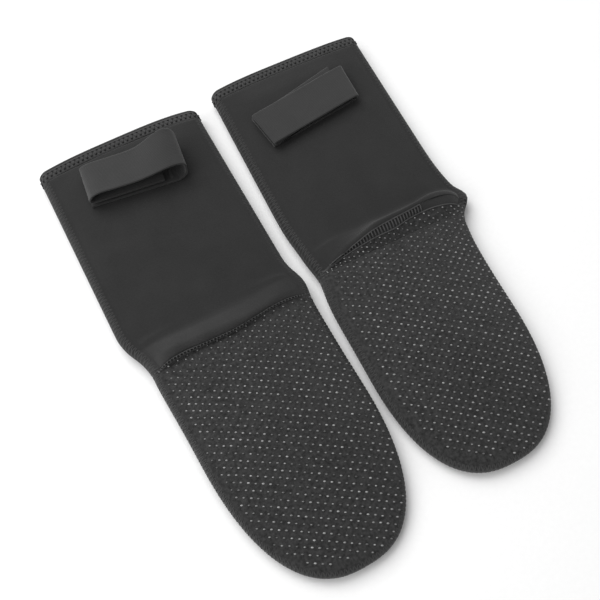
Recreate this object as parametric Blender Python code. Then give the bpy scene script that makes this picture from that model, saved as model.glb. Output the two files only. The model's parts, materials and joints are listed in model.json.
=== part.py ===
"""A pair of neoprene water socks lying flat side by side, calf and sole uppermost.

Each sock is a flattened tube of 3 mm neoprene panels with a bound cuff, a folded heel, a grip sole and an
elastic hook-and-loop strap sewn to the calf. The frame is +Z up, with the socks along Y, cuffs at +Y and toes
at -Y. In a sock's own frame the cuff's end is at y = 0, "along" is the distance from there towards the toe
(y = -along), and x runs across the sock.
"""

import math
from dataclasses import dataclass

import bmesh
import bpy
from mathutils import Matrix, Vector

MM = 0.001

# Fabric and clearances
NEOPRENE = 3.0 * MM  # panel thickness
HEM_THICKNESS = 4.0 * MM  # turned cuff binding
SEAM_THICKNESS = 2.2 * MM  # stitched seam tape
ELASTIC = 1.5 * MM  # strap webbing thickness
PATCH_THICKNESS = 1.0 * MM  # hook and loop tapes
GAP = 0.3 * MM  # between touching pieces
ANKLE_GAP = 0.5 * MM  # on each side of the ankle's fold line

# Lengths along a sock, from the cuff
HEM_DEPTH = 10.2 * MM
ANKLE = 185.0 * MM  # the fold line under the ankle, on the floor
SWAY_AT = 186.0 * MM  # the ankle swings sideways round this station
CREASE = 197.5 * MM  # where the heel fold meets the sole
SLANT = 0.6  # the leg's end leans back this far per unit of height
LEG_RAMP = 45.0 * MM  # length over which the leg's stations take up the slant
FOOT_RAMP = 12.0 * MM

# Heights
SIDE_RIM = 7.5 * MM  # side seam height, and radius of the folded edge
TOE_RIM = 5.5 * MM
CUFF_CREST = 16.0 * MM
CUFF_RISE = 32.0 * MM  # the leg is full height from here
LEG_CREST = 19.0 * MM
FOOT_CREST = 20.5 * MM
TOE_CREST = 13.5 * MM
CROWN_POWER = 4  # how squarely the crown falls away to the sides

# Seams
SEAM_TURN = 19.0  # half of the seam tape's arc round the folded edge, degrees
PANEL_TURN = 23.0  # where the panels start on that arc, degrees
EDGE_TURN = 1.5  # a narrow strip along each edge, so that the wall behind it stands square
TOE_POWER = 2.5  # superellipse exponent of the toe's outline
HEEL_FLARE = 3.0 * MM  # the heel is this much wider than the ball of the foot

# Heel fold: points (along, height) over the top of the fold, from the leg to the sole
HEEL_PROFILE = (
    (ANKLE + ANKLE_GAP - SLANT * LEG_CREST, LEG_CREST),
    (177.0 * MM, 23.5 * MM),
    (181.0 * MM, 28.8 * MM),
    (185.5 * MM, 31.0 * MM),
    (190.0 * MM, 29.3 * MM),
    (193.5 * MM, 25.5 * MM),
    (196.0 * MM, 21.8 * MM),
    (CREASE - GAP, 20.2 * MM),
)
FOLD_SHARE = 0.565  # share of the profile that is plain fold
SEAM_START = 0.60  # the heel seam takes the rest
EDGE_SHARE = 0.01  # a narrow strip along each edge of the fold and of its seam

# Strap, in its own frame: "reach" runs along the band from its left end to the fold at its right end
BAND_WIDTH = 33.0 * MM
BAND_REST = LEG_CREST + GAP  # underside of the band
BAND_START = 2.0 * MM
TACK_SIZE = (2.0 * MM, 28.0 * MM, 0.8 * MM)
PATCH_WIDTH = 29.0 * MM
PATCH_START = 9.0 * MM
TAIL_HEIGHT = BAND_REST + 5.15 * MM  # middle of the tucked end
LOOP_START = 6.0 * MM
LOOP_END = 25.0 * MM


@dataclass(frozen=True)
class Sock:
    """Sizes and lie of one sock; lengths in metres, angles in degrees."""

    name: str
    place: tuple
    yaw: float
    length: float
    toe_length: float
    leg_width: float
    foot_width: float
    leg_lean: float
    foot_shift: float
    foot_lean: float
    sway: tuple  # how far the ankle swings to the right, and over what length
    strap_place: tuple  # (across, along) of the strap's middle
    strap_yaw: float
    strap_length: float
    bend_radius: float
    patch_yaw: float
    patch_shift: float
    flap_path: tuple  # (reach, height above the band's underside) from the fold to the free end
    tail_end: float  # reach of the flap's free end, tucked under
    inner_side: int  # +1 where the other sock lies on the +X side


LEFT = Sock(
    name="left",
    place=(-75.9 * MM, 190.8 * MM),
    yaw=0.75,
    length=386.0 * MM,
    toe_length=117.5 * MM,
    leg_width=137.0 * MM,
    foot_width=126.5 * MM,
    leg_lean=-0.013,
    foot_shift=6.5 * MM,
    foot_lean=0.017,
    sway=(2.0 * MM, 14.0 * MM),
    strap_place=(-2.8 * MM, 45.0 * MM),
    strap_yaw=-8.0,
    strap_length=80.0 * MM,
    bend_radius=9.0 * MM,
    patch_yaw=0.0,
    patch_shift=0.0,
    flap_path=(
        (78.8 * MM, 14.4 * MM),
        (75.0 * MM, 17.6 * MM),
        (69.0 * MM, 19.2 * MM),
        (56.0 * MM, 18.4 * MM),
        (40.0 * MM, 16.6 * MM),
        (24.0 * MM, 16.0 * MM),
        (12.0 * MM, 15.8 * MM),
        (5.0 * MM, 13.6 * MM),
        (1.6 * MM, 9.6 * MM),
        (1.7 * MM, 6.6 * MM),
        (4.6 * MM, 5.2 * MM),
        (12.0 * MM, 5.15 * MM),
    ),
    tail_end=60.0 * MM,
    inner_side=1,
)
RIGHT = Sock(
    name="right",
    place=(77.8 * MM, 197.2 * MM),
    yaw=-0.75,
    length=380.0 * MM,
    toe_length=105.0 * MM,
    leg_width=134.5 * MM,
    foot_width=122.0 * MM,
    leg_lean=-0.034,
    foot_shift=-1.5 * MM,
    foot_lean=-0.022,
    sway=(5.0 * MM, 26.0 * MM),
    strap_place=(-6.7 * MM, 59.9 * MM),
    strap_yaw=8.1,
    strap_length=87.0 * MM,
    bend_radius=3.4 * MM,
    patch_yaw=6.0,
    patch_shift=1.6 * MM,
    flap_path=(
        (86.0 * MM, 6.4 * MM),
        (83.0 * MM, 7.6 * MM),
        (70.0 * MM, 7.9 * MM),
        (45.0 * MM, 7.7 * MM),
        (20.0 * MM, 7.6 * MM),
        (6.0 * MM, 7.55 * MM),
        (2.9 * MM, 7.3 * MM),
        (1.9 * MM, 6.35 * MM),
        (2.9 * MM, 5.4 * MM),
        (6.0 * MM, 5.15 * MM),
        (14.0 * MM, 5.15 * MM),
    ),
    tail_end=78.0 * MM,
    inner_side=-1,
)


# ---------------------------------------------------------------- shape of a sock


def smooth(start, end, value):
    """0 before start, 1 after end, and an even S between them."""
    t = min(max((value - start) / (end - start), 0.0), 1.0)
    return t * t * (3.0 - 2.0 * t)


def half_width(sock, along):
    """Half of the flat width at a station, before the toe's curve."""
    heel = sock.foot_width + HEEL_FLARE
    ankle = smooth(ANKLE - 10 * MM, ANKLE + 20 * MM, along)
    taper = smooth(ANKLE, sock.length - sock.toe_length, along)
    return (sock.leg_width + (heel - sock.leg_width) * ankle - HEEL_FLARE * taper) / 2


def middle(sock, along):
    """Sideways place of the sock's middle line at a station."""
    leg = sock.leg_lean * min(along, ANKLE)
    shift = sock.foot_shift * smooth(ANKLE - 25 * MM, ANKLE + 20 * MM, along)
    foot = sock.foot_lean * max(along - ANKLE, 0.0)
    sway = sock.sway[0] * math.exp(-(((along - SWAY_AT) / sock.sway[1]) ** 2))
    return leg + shift + foot + sway


def rim(sock, along):
    """Height of the side seam, which is also the radius of the folded edge."""
    toe = smooth(sock.length - sock.toe_length, sock.length, along)
    return SIDE_RIM + (TOE_RIM - SIDE_RIM) * toe


def crest(sock, along):
    """Height of the top surface along the middle line, without the heel fold."""
    cuff = smooth(HEM_DEPTH, CUFF_RISE, along)
    foot = smooth(ANKLE, CREASE + 20 * MM, along)
    toe = smooth(sock.length - sock.toe_length, sock.length, along)
    leg = CUFF_CREST + (LEG_CREST - CUFF_CREST) * cuff
    return leg + (FOOT_CREST - LEG_CREST) * foot - (FOOT_CREST - TOE_CREST) * toe


def spread(turn, reach, radius, half):
    """Distance of a point on the skin from the middle line.

    turn is the angle round the folded edge, in degrees: 0 at the seam, 90 on top or underneath. reach is 1 at
    the folded edge and 0 at the middle line.
    """
    return (half - radius) * reach + radius * math.cos(math.radians(turn))


def rise(turn, reach, radius, top_height=None):
    """Height of a point on the skin; without top_height the point is on the flat underside."""
    side = radius * math.sin(math.radians(turn))
    if top_height is None:
        return radius - side
    return radius + side + (top_height - 2 * radius) * (1 - reach**CROWN_POWER)


HALF_COLUMNS = (
    (PANEL_TURN, 1.0),
    (PANEL_TURN + EDGE_TURN, 1.0),
    (45.0, 1.0),
    (67.5, 1.0),
    (90.0, 1.0),
    (90.0, 0.86),
    (90.0, 0.66),
    (90.0, 0.36),
    (90.0, 0.0),
)
FULL_COLUMNS = [(-1, t, r) for t, r in HALF_COLUMNS] + [(1, t, r) for t, r in HALF_COLUMNS[-2::-1]]
SEAM_INNER = SEAM_TURN - EDGE_TURN
SEAM_COLUMNS = (-SEAM_TURN, -SEAM_INNER, 0.0, SEAM_INNER, SEAM_TURN)


STRAIGHT_STEPS = 7  # stations beside the ball of the foot
ROUND_STEPS = 18  # steps round the toe


def leg_along(along, height):
    """A leg station's place, leaning back with height towards the ankle."""
    return along - SLANT * height * smooth(ANKLE - LEG_RAMP, ANKLE, along)


def foot_along(along, height):
    """A foot station's place, leaning back with height at the ankle."""
    return along - SLANT * height * (1 - smooth(ANKLE, ANKLE + FOOT_RAMP, along))


def skin_point(sock, placed, side, turn, reach, height):
    """A point beside the middle line at a station, as wide as the sock is there."""
    distance = spread(turn, reach, rim(sock, placed), half_width(sock, placed))
    return Vector((middle(sock, placed) + side * distance, -placed, height))


def leg_point(sock, along, side, turn, reach, top):
    """A point on the leg's skin, on the calf side or on the shin side."""
    z = rise(turn, reach, rim(sock, along), crest(sock, along) if top else None)
    return skin_point(sock, leg_along(along, z), side, turn, reach, z)


def edge_point(sock, along, side, turn):
    """A point on the seam tape down the leg's side; turn is negative below the seam's middle."""
    radius = rim(sock, along)
    z = radius + radius * math.sin(math.radians(turn))
    return skin_point(sock, leg_along(along, z), side, turn, 1.0, z)


def stations(start, end, count):
    """Evenly spaced values from start to end."""
    return [start + (end - start) * i / (count - 1) for i in range(count)]


def foot_outline(sock, start):
    """The foot's outline from one side of the heel round the toe to the other.

    Each entry is (across, ahead, station): the outline point measured from its spine point, which is on the
    middle line at that station. Beside the ball it is straight across; round the toe the spine point is the
    toe's centre, and the outline is a superellipse.
    """
    centre = sock.length - sock.toe_length
    half = half_width(sock, centre)
    down = stations(start, centre, STRAIGHT_STEPS)
    outline = [(-half_width(sock, a), 0.0, a) for a in down[:-1]]
    for i in range(ROUND_STEPS + 1):
        angle = math.pi * i / ROUND_STEPS
        x, y = -math.cos(angle), abs(math.sin(angle))
        across = math.copysign(abs(x) ** (2 / TOE_POWER), x) * half
        outline.append((across, y ** (2 / TOE_POWER) * sock.toe_length, centre))
    return outline + [(half_width(sock, a), 0.0, a) for a in down[-2::-1]]


def foot_skin(sock, entry, turn, reach, height_at, slanted):
    """A point on the line from an outline point to its spine point; height_at gives its height at a station."""
    across, ahead, station = entry
    full = math.hypot(across, ahead)
    share = spread(turn, reach, rim(sock, station + ahead), full) / full
    along = station + ahead * share
    z = height_at(along)
    if ahead > 0.1 * MM:
        return Vector((middle(sock, along) + across * share, -along, z))
    placed = foot_along(along, z) if slanted else along
    return skin_point(sock, placed, math.copysign(1, across), turn, reach, z)


def foot_point(sock, entry, turn, reach, top):
    """A point on the sole or on the instep."""

    def height_at(along):
        return rise(turn, reach, rim(sock, along), crest(sock, along) if top else None)

    return foot_skin(sock, entry, turn, reach, height_at, slanted=not top)


def foot_edge(sock, entry, turn):
    """A point on the seam tape round the foot."""

    def height_at(along):
        return rim(sock, along) * (1 + math.sin(math.radians(turn)))

    return foot_skin(sock, entry, turn, 1.0, height_at, slanted=True)


def spline(points, steps):
    """A smooth curve through 2-D points: Catmull-Rom, with the ends doubled."""
    padded = [points[0], *points, points[-1]]
    curve = []
    for a, b, c, d in zip(padded, padded[1:], padded[2:], padded[3:]):
        for i in range(steps):
            t = i / steps
            curve.append(
                tuple(
                    0.5
                    * (
                        2 * b[k]
                        + (c[k] - a[k]) * t
                        + (2 * a[k] - 5 * b[k] + 4 * c[k] - d[k]) * t * t
                        + (3 * b[k] - a[k] - 3 * c[k] + d[k]) * t**3
                    )
                    for k in range(2)
                )
            )
    return curve + [points[-1]]


HEEL_CURVE = spline(HEEL_PROFILE, 2)


def heel_place(share):
    """(along, height) at a share of the heel profile's length, from 0 at the leg to 1 at the sole."""
    spot = share * (len(HEEL_CURVE) - 1)
    i = min(int(spot), len(HEEL_CURVE) - 2)
    t = spot - i
    (a0, h0), (a1, h1) = HEEL_CURVE[i], HEEL_CURVE[i + 1]
    return a0 + (a1 - a0) * t, h0 + (h1 - h0) * t


def heel_point(sock, share, side, turn, reach):
    """A point on the heel fold; its leg end leans back as the leg's end does."""
    along, height = heel_place(share)
    z = rise(turn, reach, SIDE_RIM, height)
    placed = along - SLANT * (z - height) * (1 - share)
    return skin_point(sock, placed, side, turn, reach, z)


# ---------------------------------------------------------------- Blender objects


def material(name, colour, roughness):
    """A plain Principled material."""
    made = bpy.data.materials.new(name)
    made.use_nodes = True
    shader = made.node_tree.nodes["Principled BSDF"]
    shader.inputs["Base Color"].default_value = (*colour, 1.0)
    shader.inputs["Roughness"].default_value = roughness
    shader.inputs["Metallic"].default_value = 0.0
    return made


def empty(name, parent, place, yaw):
    """An empty that other pieces are placed by."""
    made = bpy.data.objects.new(name, None)
    made.empty_display_size = 0.02
    made.parent = parent
    made.location = place
    made.rotation_euler = (0.0, 0.0, math.radians(yaw))
    bpy.context.scene.collection.objects.link(made)
    return made


def add_object(name, mesh, parent, finish):
    """Link a mesh as a named node."""
    made = bpy.data.objects.new(name, mesh)
    made.parent = parent
    mesh.materials.append(finish)
    bpy.context.scene.collection.objects.link(made)
    return made


def sheet(name, rows, parent, finish, facing, thickness, offset=-1.0, closed=False, origin=(0, 0, 0)):
    """A panel: a grid of points with a wall of the given thickness behind it.

    facing is a function of a face's middle that gives its outward direction.
    """
    work = bmesh.new()
    shift = Vector(origin)
    grid = [[work.verts.new(p - shift) for p in row] for row in rows]
    for row, following in zip(grid, grid[1:]):
        ring = list(range(len(row)))
        pairs = zip(ring, ring[1:] + ring[:1]) if closed else zip(ring, ring[1:])
        for i, j in pairs:
            work.faces.new((row[i], row[j], following[j], following[i]))
    bmesh.ops.remove_doubles(work, verts=work.verts, dist=0.001 * MM)
    work.normal_update()
    tallied = sum(f.normal.dot(facing(f.calc_center_median() + shift)) * f.calc_area() for f in work.faces)
    if tallied < 0:
        bmesh.ops.reverse_faces(work, faces=work.faces)
    mesh = bpy.data.meshes.new(name)
    work.to_mesh(mesh)
    work.free()
    mesh.shade_smooth()
    mesh.set_sharp_from_angle(angle=math.radians(40))
    made = add_object(name, mesh, parent, finish)
    wall = made.modifiers.new("wall", "SOLIDIFY")
    wall.thickness = thickness
    wall.offset = offset
    wall.use_even_offset = True
    return made


def plate(name, size, middle_at, parent, finish, yaw=0.0, origin=(0, 0, 0)):
    """A flat rectangular plate with eased corners."""
    work = bmesh.new()
    turn = Matrix.Rotation(math.radians(yaw), 4, "Z")
    bmesh.ops.create_cube(work, size=1.0, matrix=Matrix.Diagonal((*size, 1.0)))
    upright = [e for e in work.edges if abs((e.verts[0].co - e.verts[1].co).normalized().z) > 0.9]
    ease = min(size[0], size[1]) * 0.2
    bmesh.ops.bevel(work, geom=upright, offset=min(ease, 2 * MM), segments=2, profile=0.5, affect="EDGES")
    bmesh.ops.transform(work, matrix=turn, verts=work.verts)
    bmesh.ops.translate(work, vec=Vector(middle_at) - Vector(origin), verts=work.verts)
    mesh = bpy.data.meshes.new(name)
    work.to_mesh(mesh)
    work.free()
    return add_object(name, mesh, parent, finish)


def upward(_):
    """Outward direction of a top panel."""
    return Vector((0, 0, 1))


def downward(_):
    """Outward direction of an underside panel."""
    return Vector((0, 0, -1))


# ---------------------------------------------------------------- the pieces


def build_leg(sock, root, finishes):
    """Calf and shin panels, the cuff's hem and the two side seams."""
    leg = [*stations(HEM_DEPTH + GAP, ANKLE - LEG_RAMP, 4)[:-1], *stations(ANKLE - LEG_RAMP, ANKLE - ANKLE_GAP, 6)]
    for name, top, facing in (("calf_panel", True, upward), ("shin_panel", False, downward)):
        rows = [[leg_point(sock, a, side, t, r, top) for side, t, r in FULL_COLUMNS] for a in leg]
        sheet(f"{sock.name}_{name}", rows, root, finishes["neoprene"], facing, NEOPRENE)

    for name, side in (("inner", sock.inner_side), ("outer", -sock.inner_side)):
        rows = [[edge_point(sock, a, side, t) for t in SEAM_COLUMNS] for a in leg]
        outward = Vector((side, 0, 0))
        seam_name = f"{sock.name}_{name}_side_seam"
        sheet(seam_name, rows, root, finishes["thread"], lambda _, way=outward: way, SEAM_THICKNESS)

    edge_turns = [t for t in SEAM_COLUMNS if abs(t) < SEAM_TURN]
    rows = []
    for along in stations(0.0, HEM_DEPTH, 3):
        over = [leg_point(sock, along, side, t, r, True) for side, t, r in FULL_COLUMNS]
        under = [leg_point(sock, along, side, t, r, False) for side, t, r in FULL_COLUMNS]
        right = [edge_point(sock, along, 1, t) for t in reversed(edge_turns)]
        left = [edge_point(sock, along, -1, t) for t in edge_turns]
        rows.append(over + right + under[::-1] + left)

    def outward_of_hem(point):
        return Vector((point.x, 0, 4 * (point.z - CUFF_CREST / 2)))

    sheet(
        f"{sock.name}_cuff_hem",
        rows,
        root,
        finishes["binding"],
        outward_of_hem,
        HEM_THICKNESS,
        closed=True,
    )


def build_foot(sock, ankle, pivot, finishes):
    """Heel fold and its seam, grip sole, instep and the seam round the foot."""
    for name, start, end, count, finish, wall in (
        ("heel_fold", 0.0, FOLD_SHARE, 8, "neoprene", NEOPRENE),
        ("heel_seam", SEAM_START, 1.0, 5, "thread", SEAM_THICKNESS),
    ):
        rows = [
            [heel_point(sock, share, side, t, r) for side, t, r in FULL_COLUMNS]
            for share in [start, *stations(start + EDGE_SHARE, end - EDGE_SHARE, count), end]
        ]
        sheet(f"{sock.name}_{name}", rows, ankle, finishes[finish], upward, wall, origin=pivot)

    for name, start, top, facing, finish in (
        ("sole_panel", CREASE, True, upward, "sole"),
        ("instep_panel", ANKLE + ANKLE_GAP, False, downward, "neoprene"),
    ):
        outline = foot_outline(sock, start)
        rows = [[foot_point(sock, entry, t, r, top) for t, r in HALF_COLUMNS] for entry in outline]
        sheet(f"{sock.name}_{name}", rows, ankle, finishes[finish], facing, NEOPRENE, origin=pivot)

    outline = foot_outline(sock, ANKLE + ANKLE_GAP)
    rows = [[foot_edge(sock, entry, t) for t in SEAM_COLUMNS] for entry in outline]
    centre = Vector((0, -(sock.length - sock.toe_length), 0))

    def outward_of_foot(point):
        away = point - centre
        return Vector((away.x, min(away.y, 0.0), 0))

    sheet(
        f"{sock.name}_foot_seam",
        rows,
        ankle,
        finishes["thread"],
        outward_of_foot,
        SEAM_THICKNESS,
        origin=pivot,
    )


def ribbon(name, path, parent, finish, origin=(0, 0, 0)):
    """A band of elastic along a path of (reach, height) points."""
    rows = [[Vector((r, side * BAND_WIDTH / 2, h)) for side in (-1, 1)] for r, h in path]
    return sheet(name, rows, parent, finish, upward, ELASTIC, offset=0.0, origin=origin)


def build_strap(sock, root, finishes):
    """Elastic band with its hook tape and tacks, and the flap that folds over it."""
    across, along = sock.strap_place
    yaw = math.radians(sock.strap_yaw)
    half = sock.strap_length / 2
    start = (across - half * math.cos(yaw), -along - half * math.sin(yaw), 0.0)
    strap = empty(f"{sock.name}_strap", root, start, sock.strap_yaw)

    band_height = BAND_REST + ELASTIC / 2
    bend_at = sock.strap_length - sock.bend_radius - ELASTIC / 2
    hinge = (sock.strap_length, 0.0, band_height + sock.bend_radius)
    lower = [(BAND_START, band_height), (bend_at / 2, band_height)]
    for i in range(9):
        angle = math.radians(-90 + 90 * i / 8)
        x = bend_at + sock.bend_radius * math.cos(angle)
        lower.append((x, hinge[2] + sock.bend_radius * math.sin(angle)))
    lower[-1] = (lower[-1][0], hinge[2] - GAP / 2)
    ribbon(f"{sock.name}_strap_band", lower, strap, finishes["elastic"])

    band_top = BAND_REST + ELASTIC + GAP
    patch_end = bend_at - 9 * MM if sock.bend_radius > 5 * MM else bend_at - 12 * MM
    patch_middle = ((PATCH_START + patch_end) / 2, sock.patch_shift, band_top + PATCH_THICKNESS / 2)
    plate(
        f"{sock.name}_hook_tape",
        (patch_end - PATCH_START, PATCH_WIDTH, PATCH_THICKNESS),
        patch_middle,
        strap,
        finishes["tape"],
        sock.patch_yaw,
    )
    for name, reach in (("free_end_tack", 4.0 * MM), ("fold_end_tack", bend_at - 3 * MM)):
        spot = (reach, 0.0, band_top + TACK_SIZE[2] / 2)
        plate(f"{sock.name}_{name}", TACK_SIZE, spot, strap, finishes["thread"])

    flap = empty(f"{sock.name}_flap_hinge", strap, hinge, 0.0)
    first = (sock.strap_length - ELASTIC / 2, hinge[2] + GAP / 2)
    rest = [(r, h + BAND_REST) for r, h in sock.flap_path]
    path = spline([first, *rest, (sock.tail_end, TAIL_HEIGHT)], 3)
    ribbon(f"{sock.name}_strap_flap", path, flap, finishes["elastic"], origin=hinge)
    loop_length = LOOP_END - LOOP_START
    loop_top = TAIL_HEIGHT - ELASTIC / 2 - GAP
    plate(
        f"{sock.name}_loop_tape",
        (loop_length, PATCH_WIDTH, PATCH_THICKNESS),
        (LOOP_START + loop_length / 2, 0.0, loop_top - PATCH_THICKNESS / 2),
        flap,
        finishes["tape"],
        origin=hinge,
    )


def build_sock(sock, pair, finishes):
    """One sock on its own empty, with the foot on an empty at the ankle's fold line."""
    root = empty(f"{sock.name}_sock", pair, (*sock.place, 0.0), sock.yaw)
    pivot = (middle(sock, ANKLE), -ANKLE, 0.0)
    ankle = empty(f"{sock.name}_ankle", root, pivot, 0.0)
    build_leg(sock, root, finishes)
    build_foot(sock, ankle, pivot, finishes)
    build_strap(sock, root, finishes)


def centre_on_origin(pair):
    """Move the pair so that the middle of its bounding box stands over the origin."""
    bpy.context.view_layer.update()
    graph = bpy.context.evaluated_depsgraph_get()
    points = []
    for item in bpy.context.scene.objects:
        if item.type == "MESH":
            shown = item.evaluated_get(graph)
            points += [shown.matrix_world @ v.co for v in shown.data.vertices]
    for axis in (0, 1):
        values = [p[axis] for p in points]
        pair.location[axis] -= (min(values) + max(values)) / 2
    bpy.context.view_layer.update()


def main():
    """Clear the scene and build the pair."""
    for item in list(bpy.data.objects):
        bpy.data.objects.remove(item, do_unlink=True)
    finishes = {
        "neoprene": material("black_neoprene", (0.035, 0.035, 0.036), 0.85),
        "sole": material("grip_sole_fabric", (0.042, 0.042, 0.043), 0.9),
        "binding": material("cuff_binding", (0.04, 0.04, 0.041), 0.85),
        "thread": material("seam_thread", (0.05, 0.05, 0.052), 0.7),
        "elastic": material("elastic_webbing", (0.065, 0.065, 0.067), 0.8),
        "tape": material("hook_and_loop_tape", (0.03, 0.03, 0.031), 0.9),
    }
    pair = empty("pair", None, (0.0, 0.0, 0.0), 0.0)
    for sock in (LEFT, RIGHT):
        build_sock(sock, pair, finishes)
    centre_on_origin(pair)


main()
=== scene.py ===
"""Looks of a pair of black neoprene water socks that lie flat with calf and sole uppermost.

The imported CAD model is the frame: every sock and strap is placed from its joints. Lengths are in
millimetres, and a mesh is written in metres. In a sock's own frame the cuff's end is at y = 0, "along" is the
distance from there towards the toe (y = -along), x runs across the sock and z is the height above the floor.
"""

import json
import logging
import math
from dataclasses import dataclass
from enum import Enum

import bmesh
import bpy
import numpy as np
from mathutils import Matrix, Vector


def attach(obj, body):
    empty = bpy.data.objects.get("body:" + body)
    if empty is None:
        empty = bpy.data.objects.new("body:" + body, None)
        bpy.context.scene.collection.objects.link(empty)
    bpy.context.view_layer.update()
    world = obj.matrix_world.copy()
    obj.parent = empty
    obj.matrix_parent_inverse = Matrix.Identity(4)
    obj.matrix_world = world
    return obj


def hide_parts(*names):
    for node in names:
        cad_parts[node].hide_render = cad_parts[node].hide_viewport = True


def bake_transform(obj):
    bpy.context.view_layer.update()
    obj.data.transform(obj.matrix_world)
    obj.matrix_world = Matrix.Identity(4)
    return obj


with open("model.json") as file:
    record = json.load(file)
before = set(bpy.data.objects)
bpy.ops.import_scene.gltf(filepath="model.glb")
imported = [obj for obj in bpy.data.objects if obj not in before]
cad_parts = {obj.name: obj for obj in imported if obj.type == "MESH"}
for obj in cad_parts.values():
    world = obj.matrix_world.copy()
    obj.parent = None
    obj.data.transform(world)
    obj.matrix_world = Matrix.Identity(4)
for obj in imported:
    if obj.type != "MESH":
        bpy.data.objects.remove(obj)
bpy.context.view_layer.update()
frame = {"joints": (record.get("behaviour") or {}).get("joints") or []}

LOG = logging.getLogger("water_socks")
MM = 0.001
Array = np.ndarray
UPWARDS = np.array([0.0, 0.0, 1.0])

# ---------------------------------------------------------------- sizes shared by both socks

SIDE_RIM = 7.5  # side seam height, and radius of the folded edge
TOE_RIM = 5.5
CUFF_CREST = 16.0
CUFF_RISE = 32.0
LEG_CREST = 19.0
FOOT_CREST = 20.5
TOE_CREST = 13.5
CROWN_POWER = 4.0
HEEL_POWER = 9.0  # the heel fold stays high almost to its ends
HEM_DEPTH = 10.2
ANKLE = 185.0
SWAY_AT = 186.0  # the ankle swings sideways round this station
CREASE = 197.5
SEAM_SINK = 1.5  # the heel seam's tape sinks this far into the skin at the folded edges
EDGE_TURN = 60.0  # below this angle the heel seam follows the folded edge
HEEL_DOTS = 0.75  # the dots' size near the heel, as a share of their full size
SLANT = 0.6  # near the ankle the stations lean back by this share of the height
FOLD_SMOOTH = 8  # rows on each side of the fold's foot that are evened out
LEG_RAMP = 45.0
FOOT_RAMP = 12.0
TOE_POWER = 2.5
HEEL_FLARE = 3.0
PANEL_TURN = 20.5  # where the panels start round the folded edge, degrees
WALL = 3.0  # neoprene
ELASTIC = 1.5
BAND_WIDTH = 33.0
BAND_REST = LEG_CREST + 0.3
HOOKS_FROM = 28.0  # the hooks start here; the tucked end covers the tape before that
HOOK_CURL = np.array(
    [[0.0, 0.0, -0.1], [0.02, 0.0, 0.45], [0.2, 0.0, 0.8], [0.5, 0.0, 0.82], [0.62, 0.0, 0.55]]
)
TACK_TURNS = 56
TACK_WIDTH = 28.0
FOOT_SEAM_START = 200.0
SEAM_TURN = 19.0  # half of a seam tape's width, as an angle round the folded edge
SEAM_TAPE = 2.2  # its thickness
SEAM_PITCH = 3.0  # from one of its stitches to the next
SEAM_BED = (-24.0, 88.0)  # the skin beside a seam, as angles round the folded edge
SEAM_STITCHES = (-16.0, 78.0)  # where its stitches start and end; round the foot they end lower
FOOT_STITCHES = (-16.0, 66.0)
DOT_PITCH = 7.75
DOT_ROW = 3.05
DOT_ORIGIN = 290.0  # the station that the dots' rows are counted from
LAP_ROW = 0.68  # the rows on the slope under the fold are this share as far apart
DOT_RADIUS = 0.98
DOT_NARROW = 0.62  # the dots are oval
DOT_LAY = 28.0  # their long way, turned from straight across, degrees
DOT_RINGS = ((1.0, -0.25), (0.97, 0.25), (0.74, 0.6), (0.36, 0.8))  # (share of the radius, height)


def ease(start: float, end: float, value: Array) -> Array:
    """0 before start, 1 after end, and an even S (3t^2 - 2t^3) between them."""
    t = np.clip((np.asarray(value, float) - start) / (end - start), 0.0, 1.0)
    return t * t * (3.0 - 2.0 * t)


def bell(middle: float, width: float, value: Array) -> Array:
    """A bell curve, exp(-((value - middle) / width)^2)."""
    return np.exp(-(((value - middle) / width) ** 2))


def spline(points: tuple, count: int) -> Array:
    """A smooth curve through points, evenly spaced by length.

    Catmull-Rom pieces, with the ends doubled, are sampled finely and then read at equal steps of arc length.

    Args:
        points: The points that the curve goes through.
        count: How many points come back.

    Returns:
        The curve as an array of count rows.
    """
    p = np.array(points, float)
    padded = np.vstack([p[0], p, p[-1]])
    a, b, c, d = (padded[i : len(padded) - 3 + i, None, :] for i in range(4))
    t = np.linspace(0.0, 1.0, 24, endpoint=False)[None, :, None]
    fine = 0.5 * (
        2 * b + (c - a) * t + (2 * a - 5 * b + 4 * c - d) * t**2 + (3 * b - a - 3 * c + d) * t**3
    )
    fine = np.vstack([fine.reshape(-1, p.shape[1]), p[-1]])
    return even_steps(fine, count)


def even_steps(path: Array, count: int) -> Array:
    """The path read again at count points, equally spaced by length."""
    gone = np.concatenate([[0.0], np.cumsum(np.linalg.norm(np.diff(path, axis=0), axis=1))])
    wanted = np.linspace(0.0, gone[-1], count)
    return np.stack([np.interp(wanted, gone, path[:, k]) for k in range(path.shape[1])], axis=1)


def ripple(points: Array, wavelength: float, seed: int) -> Array:
    """Smooth unevenness from about -1 to 1: six sine waves across the floor, in seeded directions, averaged.

    Args:
        points: Where it is wanted.
        wavelength: Their length, which each wave varies a little.
        seed: Where the directions, lengths and phases come from.

    Returns:
        A value for each point.
    """
    draw = np.random.default_rng(seed)
    turn = draw.uniform(0.0, 2 * math.pi, 6)
    phase = draw.uniform(0.0, 2 * math.pi, 6)
    pitch = wavelength * draw.uniform(0.75, 1.35, 6)
    run = points[..., 0, None] * np.cos(turn) + points[..., 1, None] * np.sin(turn)
    return np.sin(run * 2 * math.pi / pitch + phase).mean(-1) * 1.6


def unit(vectors: Array) -> Array:
    """The same directions at length 1."""
    return vectors / np.maximum(np.linalg.norm(vectors, axis=-1, keepdims=True), 1e-9)


def grid_normals(grid: Array) -> Array:
    """Unit normals of a grid of points: the cross product of its row and column steps."""
    return unit(np.cross(np.gradient(grid, axis=0), np.gradient(grid, axis=1)))


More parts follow.
